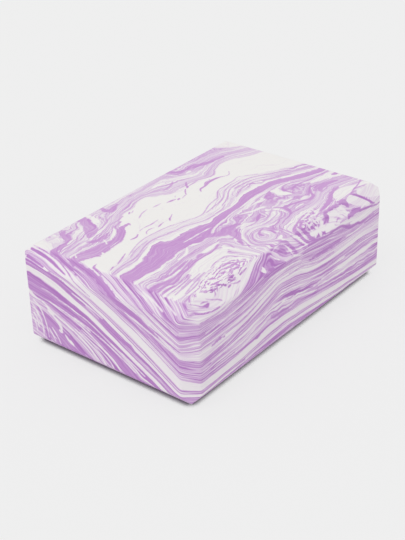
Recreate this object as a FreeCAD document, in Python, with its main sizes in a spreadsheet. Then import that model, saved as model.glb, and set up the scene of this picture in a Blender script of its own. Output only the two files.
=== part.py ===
"""Marbled foam yoga block: a bevelled brick, pressed from sheets and knots of white and violet EVA foam.

Frame: +Z up, +X along the longest side, origin at the middle of the face that the block stands on.
The front is the long side at -Y, and the left end is the short side at -X. Lengths are millimetres.

The sheets lie on each other and climb from the front to the back, so that their edges show as bands on
every side. Each boundary between two sheets is a wavy ruled surface between a line on the front of the
block and a line on its back. Four knots of folded foam sit in the front edge of the top face. Every
piece meets its neighbours face to face, because heat has welded them, and nothing moves.
"""

import FreeCAD
import Part
import Sketcher

import os

# Driving dimensions, and what each one is.
SIZES = {
    "block_length": (230.0, "along X"),
    "block_width": (150.0, "along Y"),
    "block_height": (75.0, "along Z"),
    "bevel": (9.3, "leg of the flat bevel that is cut along every edge"),
    "overrun": (20.0, "how far the cutting shapes reach past the block"),
    "near_knot_length": (72.0, "white knot by the left front corner, along X"),
    "near_knot_width": (27.0, "across the top face"),
    "near_knot_depth": (13.0, "through the sheets"),
    "middle_knot_length": (34.0, "violet knot in the top face, along X"),
    "middle_knot_width": (22.0, "across the top face"),
    "middle_knot_depth": (10.0, "through the sheets"),
    "edge_knot_length": (34.0, "violet knot in the front bevel, along X"),
    "edge_knot_width": (13.0, "across the bevel"),
    "edge_knot_depth": (9.0, "through the sheets"),
    "far_knot_length": (66.0, "white knot in the right half of the front bevel, along X"),
    "far_knot_width": (18.0, "across the bevel"),
    "far_knot_depth": (13.0, "through the sheets"),
    "knot_tilt": (20.0, "degrees that the knots climb with the sheets"),
}

# Stations along X where the boundaries are given, from left to right, as shares of their length.
STATION_SHARES = (-0.5, -0.25, 0.0, 0.25, 0.5)

# The boundary on top of each sheet, from the lowest sheet up: its heights on the front of the block and
# on the back, at the five stations, as shares of the block's height. Past 0 or 1 it is off the block.
BOUNDARY_SHARES = {
    "violet_sheet_1": ((-0.38, -0.38, -0.36, -0.40, -0.44), (0.42, 0.30, 0.27, 0.27, 0.40)),
    "white_sheet_1": ((-0.24, -0.24, -0.22, -0.26, -0.30), (0.58, 0.42, 0.39, 0.39, 0.53)),
    "violet_sheet_2": ((-0.05, -0.05, -0.04, -0.08, -0.12), (0.75, 0.56, 0.53, 0.53, 0.69)),
    "white_sheet_2": ((0.01, 0.01, 0.03, -0.01, -0.05), (0.84, 0.65, 0.62, 0.62, 0.80)),
    "violet_sheet_3": ((0.07, 0.07, 0.09, 0.04, 0.00), (0.91, 0.73, 0.70, 0.70, 0.88)),
    "white_sheet_3": ((0.13, 0.14, 0.17, 0.11, 0.05), (0.98, 0.81, 0.78, 0.78, 0.96)),
    "violet_sheet_4": ((0.20, 0.21, 0.26, 0.17, 0.11), (1.05, 0.89, 0.85, 0.85, 1.06)),
    "white_sheet_4": ((0.27, 0.31, 0.35, 0.27, 0.21), (1.15, 1.00, 0.96, 0.98, 1.20)),
    "violet_sheet_5": ((0.45, 0.55, 0.61, 0.53, 0.53), (1.32, 1.21, 1.09, 1.16, 1.23)),
    "white_sheet_5": ((0.68, 0.68, 0.71, 0.59, 0.63), (1.41, 1.33, 1.37, 1.47, 1.87)),
    "violet_sheet_6": ((0.77, 0.79, 0.79, 0.73, 0.75), (1.42, 1.38, 1.31, 1.37, 1.71)),
}
TOP_SHEET = "white_sheet_6"

# The sizes that each knot takes, and its middle as shares of the block's length, width and height.
KNOT_SIZES = {
    "white_knot_near": "near_knot",
    "violet_knot_middle": "middle_knot",
    "violet_knot_edge": "edge_knot",
    "white_knot_far": "far_knot",
}
KNOT_PLACE_SHARES = {
    "white_knot_near": (-0.296, -0.385, 0.965),
    "violet_knot_middle": (-0.015, -0.335, 0.995),
    "violet_knot_edge": (-0.060, -0.472, 0.895),
    "white_knot_far": (0.185, -0.455, 0.920),
}


def make_sizes(doc):
    sizes = doc.addObject("Spreadsheet::Sheet", "sizes")
    for row, (name, (value, words)) in enumerate(SIZES.items(), start=1):
        sizes.set(f"A{row}", name)
        sizes.set(f"B{row}", str(value))
        sizes.setAlias(f"B{row}", name)
        sizes.set(f"C{row}", words)
    doc.recompute()
    return sizes


def new_sketch(body, name, role):
    sketch = body.newObject("Sketcher::SketchObject", name)
    plane = next(feature for feature in body.Origin.OriginFeatures if feature.Role == role)
    sketch.AttachmentSupport = [(plane, "")]
    sketch.MapMode = "FlatFace"
    return sketch


def draw_outline(sketch, points):
    """Draws straight lines through the points and back to the first one. Returns their numbers."""
    ends = [FreeCAD.Vector(u, v, 0) for u, v in points]
    lines = []
    for start, end in zip(ends, ends[1:] + ends[:1]):
        lines.append(sketch.addGeometry(Part.LineSegment(start, end), False))
    for line, after in zip(lines, lines[1:] + lines[:1]):
        sketch.addConstraint(Sketcher.Constraint("Coincident", line, 2, after, 1))
    return lines


def bind(sketch, name, formula, *constraint):
    """Adds a named dimension to a sketch and ties it to the sizes."""
    number = sketch.addConstraint(Sketcher.Constraint(*constraint))
    sketch.renameConstraint(number, name)
    sketch.setExpression(f"Constraints.{name}", formula)


def bind_start(sketch, name, line, place, formulas):
    """Ties the start of a line to its distances from the sketch's origin, along u and along v."""
    for kind, distance, formula in zip(("DistanceX", "DistanceY"), place, formulas):
        ends = (-1, 1, line, 1) if distance > 0 else (line, 1, -1, 1)
        bind(sketch, f"{name}_{kind}", formula, kind, *ends, abs(distance))


def draw_plan(body, sizes):
    """Draws the rectangle that the block is cut from, with the origin in its middle."""
    sketch = new_sketch(body, "plan", "XY_Plane")
    u = sizes.block_length / 2
    v = sizes.block_width / 2
    lines = draw_outline(sketch, [(-u, -v), (u, -v), (u, v), (-u, v)])
    for line, kind in zip(lines, ("Horizontal", "Vertical", "Horizontal", "Vertical")):
        sketch.addConstraint(Sketcher.Constraint(kind, line))
    halves = ("sizes.block_length / 2", "sizes.block_width / 2")
    bind_start(sketch, "near", lines[0], (-u, -v), halves)
    bind_start(sketch, "far", lines[2], (u, v), halves)
    return sketch


def draw_bevels(body, name, role, sizes, across, tall):
    """Draws the four triangles that the bevels take off the corners of one view of the block.

    across and tall name the sizes of the view, whose middle is the sketch's origin. Each triangle
    reaches past the block, and its long side runs along the bevel.
    """
    sketch = new_sketch(body, name, role)
    u = getattr(sizes, across) / 2 + sizes.overrun
    v = getattr(sizes, tall) / 2 + sizes.overrun
    leg = sizes.bevel + 2 * sizes.overrun
    formulas = (f"sizes.{across} / 2 + sizes.overrun", f"sizes.{tall} / 2 + sizes.overrun")
    for corner, (right, up) in {"a": (-1, -1), "b": (1, -1), "c": (1, 1), "d": (-1, 1)}.items():
        tip_u = right * u
        tip_v = up * v
        points = [(tip_u, tip_v), (tip_u - right * leg, tip_v), (tip_u, tip_v - up * leg)]
        level, _, upright = draw_outline(sketch, points)
        sketch.addConstraint(Sketcher.Constraint("Horizontal", level))
        sketch.addConstraint(Sketcher.Constraint("Vertical", upright))
        bind_start(sketch, corner, level, (tip_u, tip_v), formulas)
        for line, word in ((level, "level"), (upright, "upright")):
            bind(sketch, f"{corner}_{word}", "sizes.bevel + 2 * sizes.overrun", "Distance", line, leg)
    return sketch


def make_block(doc, sizes):
    """The whole brick. Its bevels are sawn along every edge, so three of them meet in a point."""
    body = doc.addObject("PartDesign::Body", "block")
    pad = body.newObject("PartDesign::Pad", "brick")
    pad.Profile = draw_plan(body, sizes)
    pad.setExpression("Length", "sizes.block_height")
    doc.recompute()

    views = {
        "upright_edges": ("XY_Plane", "block_length", "block_width"),
        "long_edges": ("YZ_Plane", "block_width", "block_height"),
        "short_edges": ("XZ_Plane", "block_length", "block_height"),
    }
    for name, (role, across, tall) in views.items():
        sketch = draw_bevels(body, f"{name}_view", role, sizes, across, tall)
        if tall == "block_height":
            sketch.setExpression("AttachmentOffset.Base.y", "sizes.block_height / 2")
        doc.recompute()
        before = body.Shape.Volume
        cut = body.newObject("PartDesign::Pocket", name)
        cut.Profile = sketch
        cut.Type = "ThroughAll"
        cut.SideType = "Symmetric"
        doc.recompute()
        if body.Shape.Volume >= before:
            raise RuntimeError(f"{name} cut nothing")
    return body


def make_almond_walls(doc, name, words, across, axis):
    """Two round walls that leave an almond between them, as long as the knot and as wide as across.

    axis is the walls' own direction. They are arcs that cross at the knot's two tips.
    """
    length = f"sizes.{words}_length"
    width = f"sizes.{words}_{across}"
    radius = f"({length} ^ 2 + {width} ^ 2) / (4 * {width})"
    walls = []
    for side, sign in (("low", "-"), ("high", "")):
        wall = doc.addObject("Part::Cylinder", f"{name}_{across}_{side}")
        wall.setExpression("Radius", radius)
        wall.setExpression("Height", f"2 * {length}")
        offset = f"{sign}({radius} - {width} / 2)"
        if axis == "z":
            wall.setExpression("Placement.Base.y", offset)
            wall.setExpression("Placement.Base.z", f"-{length}")
        else:
            wall.Placement.Rotation = FreeCAD.Rotation(FreeCAD.Vector(0, 0, 1), FreeCAD.Vector(0, 1, 0))
            wall.setExpression("Placement.Base.z", offset)
            wall.setExpression("Placement.Base.y", f"-{length}")
        walls.append(wall)
    return walls


def make_knots(doc, block):
    """The four knots: almonds from above and from the front, which climb with the sheets.

    Each is cut off where the block ends.
    """
    knots = []
    for name, words in KNOT_SIZES.items():
        almond = doc.addObject("Part::MultiCommon", f"{name}_almond")
        flanks = make_almond_walls(doc, name, words, "width", "z")
        almond.Shapes = flanks + make_almond_walls(doc, name, words, "depth", "y")
        along, across, up = KNOT_PLACE_SHARES[name]
        almond.Placement.Rotation = FreeCAD.Rotation(FreeCAD.Vector(1, 0, 0), SIZES["knot_tilt"][0])
        almond.setExpression("Placement.Rotation.Angle", "sizes.knot_tilt")
        almond.setExpression("Placement.Base.x", f"{along} * sizes.block_length")
        almond.setExpression("Placement.Base.y", f"{across} * sizes.block_width")
        almond.setExpression("Placement.Base.z", f"{up} * sizes.block_height")
        knot = doc.addObject("Part::Common", name)
        knot.Base = almond
        knot.Tool = block
        knots.append(knot)
    doc.recompute()
    return knots


def boundary_line(sizes, y, heights):
    """A smooth line along X at one y, through the heights at the stations."""
    length = sizes.block_length + 2 * sizes.overrun
    points = [FreeCAD.Vector(share * length, y, z) for share, z in zip(STATION_SHARES, heights)]
    line = Part.BSplineCurve()
    line.interpolate(points)
    return line.toShape()


def make_underside(doc, sizes, name):
    """Everything below the boundary on top of a sheet, as a solid that reaches past the block."""
    front_shares, back_shares = BOUNDARY_SHARES[name]
    spread_share = sizes.overrun / sizes.block_width
    fronts = []
    backs = []
    for front_share, back_share in zip(front_shares, back_shares):
        climb = (back_share - front_share) * spread_share
        fronts.append((front_share - climb) * sizes.block_height)
        backs.append((back_share + climb) * sizes.block_height)
    y = sizes.block_width / 2 + sizes.overrun
    surface = Part.makeRuledSurface(boundary_line(sizes, -y, fronts), boundary_line(sizes, y, backs))
    drop = max(fronts + backs) + sizes.overrun
    below = doc.addObject("Part::Feature", f"below_{name}_top")
    below.Shape = surface.extrude(FreeCAD.Vector(0, 0, -drop))
    return below


def make_sheets(doc, sizes, block, knots):
    """Takes the sheets off the block one by one, from the lowest up. The last one is what is left."""
    all_knots = doc.addObject("Part::MultiFuse", "all_knots")
    all_knots.Shapes = knots
    rest = doc.addObject("Part::Cut", "block_without_knots")
    rest.Base = block
    rest.Tool = all_knots
    sheets = []
    for name in BOUNDARY_SHARES:
        below = make_underside(doc, sizes, name)
        sheet = doc.addObject("Part::Common", name)
        sheet.Base = rest
        sheet.Tool = below
        sheets.append(sheet)
        above = doc.addObject("Part::Cut", f"above_{name}")
        above.Base = rest
        above.Tool = below
        rest = above
    rest.Label = TOP_SHEET
    sheets.append(rest)
    doc.recompute()
    return sheets


def check(doc, block, pieces):
    """Stops unless every object is sound and the pieces fill the block exactly."""
    for thing in doc.Objects:
        if "Invalid" in thing.State or "Error" in thing.State:
            raise RuntimeError(f"{thing.Label} failed: {thing.State}")
    for piece in pieces:
        shape = piece.Shape
        if shape.isNull() or not shape.isValid() or not shape.Solids:
            raise RuntimeError(f"{piece.Label} has no sound solid")
        print(piece.Label, "solids", len(shape.Solids), "volume", round(shape.Volume))
    filled = sum(piece.Shape.Volume for piece in pieces) / block.Shape.Volume
    print("share of the block that the pieces fill", round(filled, 6))


def main():
    doc = FreeCAD.newDocument("yoga_block")
    sizes = make_sizes(doc)
    block = make_block(doc, sizes)
    knots = make_knots(doc, block)
    pieces = make_sheets(doc, sizes, block, knots) + knots
    check(doc, block, pieces)
    os.makedirs("parts", exist_ok=True)
    for piece in pieces:
        piece.Shape.exportStep(f"parts/{piece.Label}.step")


main()
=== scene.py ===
import math
from functools import partial

import bmesh
import bpy
import numpy as np
from mathutils import Matrix, Vector


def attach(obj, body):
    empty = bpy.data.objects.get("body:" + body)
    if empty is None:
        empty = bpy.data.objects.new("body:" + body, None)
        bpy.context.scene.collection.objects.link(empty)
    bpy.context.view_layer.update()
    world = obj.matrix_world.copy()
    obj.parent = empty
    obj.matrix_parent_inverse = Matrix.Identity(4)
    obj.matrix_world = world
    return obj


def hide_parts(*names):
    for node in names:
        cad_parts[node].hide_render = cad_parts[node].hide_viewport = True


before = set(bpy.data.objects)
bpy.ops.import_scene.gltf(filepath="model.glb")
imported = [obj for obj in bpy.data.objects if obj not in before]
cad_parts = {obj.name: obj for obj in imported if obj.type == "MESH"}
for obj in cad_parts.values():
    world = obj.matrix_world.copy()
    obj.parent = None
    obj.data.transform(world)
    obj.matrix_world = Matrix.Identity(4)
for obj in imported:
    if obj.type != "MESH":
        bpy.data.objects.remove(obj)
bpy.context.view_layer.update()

mm = 0.001


def hexToLinear(code):  # "#RRGGBB" to linear RGBA
    channels = [int(code[k:k + 2], 16) / 255 for k in (1, 3, 5)]
    return [c / 12.92 if c <= 0.04045 else ((c + 0.055) / 1.055) ** 2.4 for c in channels] + [1.0]


def addNode(tree, kind, inputs=(), out=0, stops=(), **settings):  # a node with its values and links
    node = tree.nodes.new(kind)
    for name, value in settings.items():
        setattr(node, name, value)
    for key, value in inputs.items() if isinstance(inputs, dict) else enumerate(inputs):
        if isinstance(value, bpy.types.NodeSocket):
            tree.links.new(value, node.inputs[key])
        else:
            node.inputs[key].default_value = value
    for place, (at, colour) in enumerate(stops):  # a colour ramp's stops, in order
        added = 0 < place < len(stops) - 1  # the first and the last are there already
        mark = node.color_ramp.elements.new(at) if added else node.color_ramp.elements[place]
        mark.position = at
        mark.color = colour
    return node.outputs[out] if node.outputs else node


# Block shape

brick = {
    "size": [230 * mm, 150 * mm, 75 * mm],
    "bevel": 9.3 * mm,
    "spacing": 0.8 * mm,  # between mesh points
    "softening": 2,  # passes that take the sharpness off the sawn edges
    "waviness": 0.12 * mm,  # how far the sawn faces dip
    "waveWidth": 28 * mm,
    "seed": 4.0,
}


def buildBrickTree():
    tree = bpy.data.node_groups.new("bevelledBrick", "GeometryNodeTree")
    node = partial(addNode, tree)
    tree.interface.new_socket("Geometry", in_out="OUTPUT", socket_type="NodeSocketGeometry")
    kinds = {"Size": "Vector", "Bevel": "Float", "Spacing": "Float", "Softening": "Int", "Waviness": "Float",
             "Wave Width": "Float", "Seed": "Float", "Foam": "Material"}
    sockets = {}
    for name, kind in kinds.items():
        socket = tree.interface.new_socket(name, in_out="INPUT", socket_type="NodeSocket" + kind)
        sockets[name] = socket.identifier
    given = node("NodeGroupInput").node.outputs
    size, bevel = given["Size"], given["Bevel"]
    half = node("ShaderNodeVectorMath", {0: size, "Scale": 0.5}, operation="SCALE")
    perSpacing = node("ShaderNodeMath", [1.0, given["Spacing"]], operation="DIVIDE")
    spans = node("ShaderNodeVectorMath", {0: size, "Scale": perSpacing}, operation="SCALE")
    counts = node("ShaderNodeSeparateXYZ", [spans]).node.outputs
    cube = node("GeometryNodeMeshCube", [size, counts[0], counts[1], counts[2]])

    # past the start of a bevel, a point slides in until two of its steps add up to the bevel's leg
    place = node("GeometryNodeInputPosition")
    away = node("ShaderNodeVectorMath", [place], operation="ABSOLUTE")
    legs = node("ShaderNodeCombineXYZ", [bevel, bevel, bevel])
    core = node("ShaderNodeVectorMath", [half, legs], operation="SUBTRACT")
    past = node("ShaderNodeVectorMath", [away, core], operation="SUBTRACT")
    step = node("ShaderNodeVectorMath", [past, (0.0, 0.0, 0.0)], operation="MAXIMUM")
    steps = node("ShaderNodeSeparateXYZ", [step]).node.outputs
    pairs = [node("ShaderNodeMath", [steps[a], steps[b]], operation="ADD")
             for a, b in ((0, 1), (1, 2), (2, 0))]
    longer = node("ShaderNodeMath", [pairs[0], pairs[1]], operation="MAXIMUM")
    longest = node("ShaderNodeMath", [longer, pairs[2]], operation="MAXIMUM")
    shrink = node("ShaderNodeMath", [bevel, longest], operation="DIVIDE")
    slid = node("ShaderNodeVectorMath", {0: step, "Scale": shrink}, operation="SCALE")
    flat = node("ShaderNodeVectorMath", [away, core], operation="MINIMUM")
    corner = node("ShaderNodeVectorMath", [flat, slid], operation="ADD")
    side = node("ShaderNodeVectorMath", [place], operation="SIGN")
    sawn = node("ShaderNodeVectorMath", [side, corner], operation="MULTIPLY")
    sawnBrick = node("GeometryNodeSetPosition", {"Geometry": cube, "Position": sawn})

    rubbed = node("GeometryNodeBlurAttribute", data_type="FLOAT_VECTOR", inputs={
        "Value": node("GeometryNodeInputPosition"), "Iterations": given["Softening"]})
    softBrick = node("GeometryNodeSetPosition", {"Geometry": sawnBrick, "Position": rubbed})

    perWave = node("ShaderNodeMath", [1.0, given["Wave Width"]], operation="DIVIDE")
    wave = node("ShaderNodeTexNoise", noise_dimensions="4D", inputs={
        "Vector": node("GeometryNodeInputPosition"), "W": given["Seed"], "Scale": perWave, "Detail": 2.0})
    below = node("ShaderNodeMath", [wave, 1.0], operation="SUBTRACT")
    dip = node("ShaderNodeMath", [below, given["Waviness"]], operation="MULTIPLY")
    outward = node("GeometryNodeInputNormal")
    dipped = node("ShaderNodeVectorMath", {0: outward, "Scale": dip}, operation="SCALE")
    wavyBrick = node("GeometryNodeSetPosition", {"Geometry": softBrick, "Offset": dipped})

    tall = node("ShaderNodeSeparateXYZ", [half], out=2)
    lift = node("ShaderNodeCombineXYZ", {2: tall})
    standing = node("GeometryNodeTransform", {"Geometry": wavyBrick, "Translation": lift})
    smooth = node("GeometryNodeSetShadeSmooth", {"Geometry": standing})
    whole = node("GeometryNodeRealizeInstances", {"Geometry": smooth})
    painted = node("GeometryNodeSetMaterial", {"Geometry": whole, "Material": given["Foam"]})
    node("NodeGroupOutput", [painted])
    return tree, sockets


def makeBrick(foam):
    tree, sockets = buildBrickTree()
    source = bpy.data.objects.new("brickSource", bpy.data.meshes.new("brickSource"))
    bpy.context.scene.collection.objects.link(source)
    modifier = source.modifiers.new("bevelledBrick", "NODES")
    modifier.node_group = tree
    values = {"Size": brick["size"], "Bevel": brick["bevel"], "Spacing": brick["spacing"],
              "Softening": brick["softening"], "Waviness": brick["waviness"],
              "Wave Width": brick["waveWidth"], "Seed": brick["seed"], "Foam": foam}
    for name, value in values.items():
        modifier[sockets[name]] = value
    shape = source.evaluated_get(bpy.context.evaluated_depsgraph_get())
    mesh = bpy.data.meshes.new_from_object(shape)
    bpy.data.objects.remove(source)
    mesh.materials.append(foam)
    print("brick:", len(mesh.vertices), "points,", len(mesh.polygons), "faces")
    return mesh


cutting = {
    "weld": 0.002 * mm,  # joins the corners of a CAD solid's faces
    "crease": math.radians(30),  # a sharper turn than any on the brick's skin
    "grow": 0.1 * mm,  # a solid takes a little from the next ones, so that no slivers stay between them
}


def makeKnife(solid, foam):
    shell = bmesh.new()
    shell.from_mesh(solid.data)
    bmesh.ops.remove_doubles(shell, verts=shell.verts, dist=cutting["weld"])
    shell.normal_update()
    for corner in shell.verts:
        corner.co += corner.normal * cutting["grow"]
    for face in shell.faces:
        face.material_index = 1  # tells the faces of a cut from the skin
    mesh = bpy.data.meshes.new("knife")
    shell.to_mesh(mesh)
    shell.free()
    mesh.materials.append(foam)  # for the skin
    mesh.materials.append(foam)  # for the cuts
    knife = bpy.data.objects.new("knife", mesh)
    bpy.context.scene.collection.objects.link(knife)
    return knife


def cutMesh(mesh, knife, operation):
    block = bpy.data.objects.new("block", mesh)
    bpy.context.scene.collection.objects.link(block)
    cut = block.modifiers.new("cut", "BOOLEAN")
    cut.operation = operation
    cut.solver = "MANIFOLD"
    cut.object = knife
    made = bpy.data.meshes.new_from_object(block.evaluated_get(bpy.context.evaluated_depsgraph_get()))
    bpy.data.objects.remove(block)
    return made


def cutSheets(brickMesh, foam):  # the brick's sheets and knots, each cut out along its CAD solid, knots first
    sheets = {}
    rest = brickMesh
    names = sorted(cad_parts, key=lambda name: "knot" not in name)
    for name in names:
        mesh = rest  # the last one is all that is left
        if name != names[-1]:
            knife = makeKnife(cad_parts[name], foam)
            mesh = cutMesh(rest, knife, "INTERSECT")
            rest = cutMesh(rest, knife, "DIFFERENCE")
            bpy.data.objects.remove(knife)

        # the skin meets a cut at a sharp edge
        skin = bmesh.new()
        skin.from_mesh(mesh)
        for edge in skin.edges:
            sameSkin = len({face.material_index for face in edge.link_faces}) == 1
            edge.smooth = sameSkin and edge.calc_face_angle(0) < cutting["crease"]
        for face in skin.faces:
            face.material_index = 0
        skin.to_mesh(mesh)
        skin.free()
        mesh.name = name + "_foam"
        mesh.materials.clear()
        mesh.materials.append(foam)
        sheets[name] = bpy.data.objects.new(mesh.name, mesh)
        bpy.context.scene.collection.objects.link(sheets[name])
        print("sheet:", name, len(mesh.vertices), "points,", len(mesh.polygons), "faces")
    return sheets


# Marbling: the strata as lines drawn on the faces, in mm, and the level of each line in the stack

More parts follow.
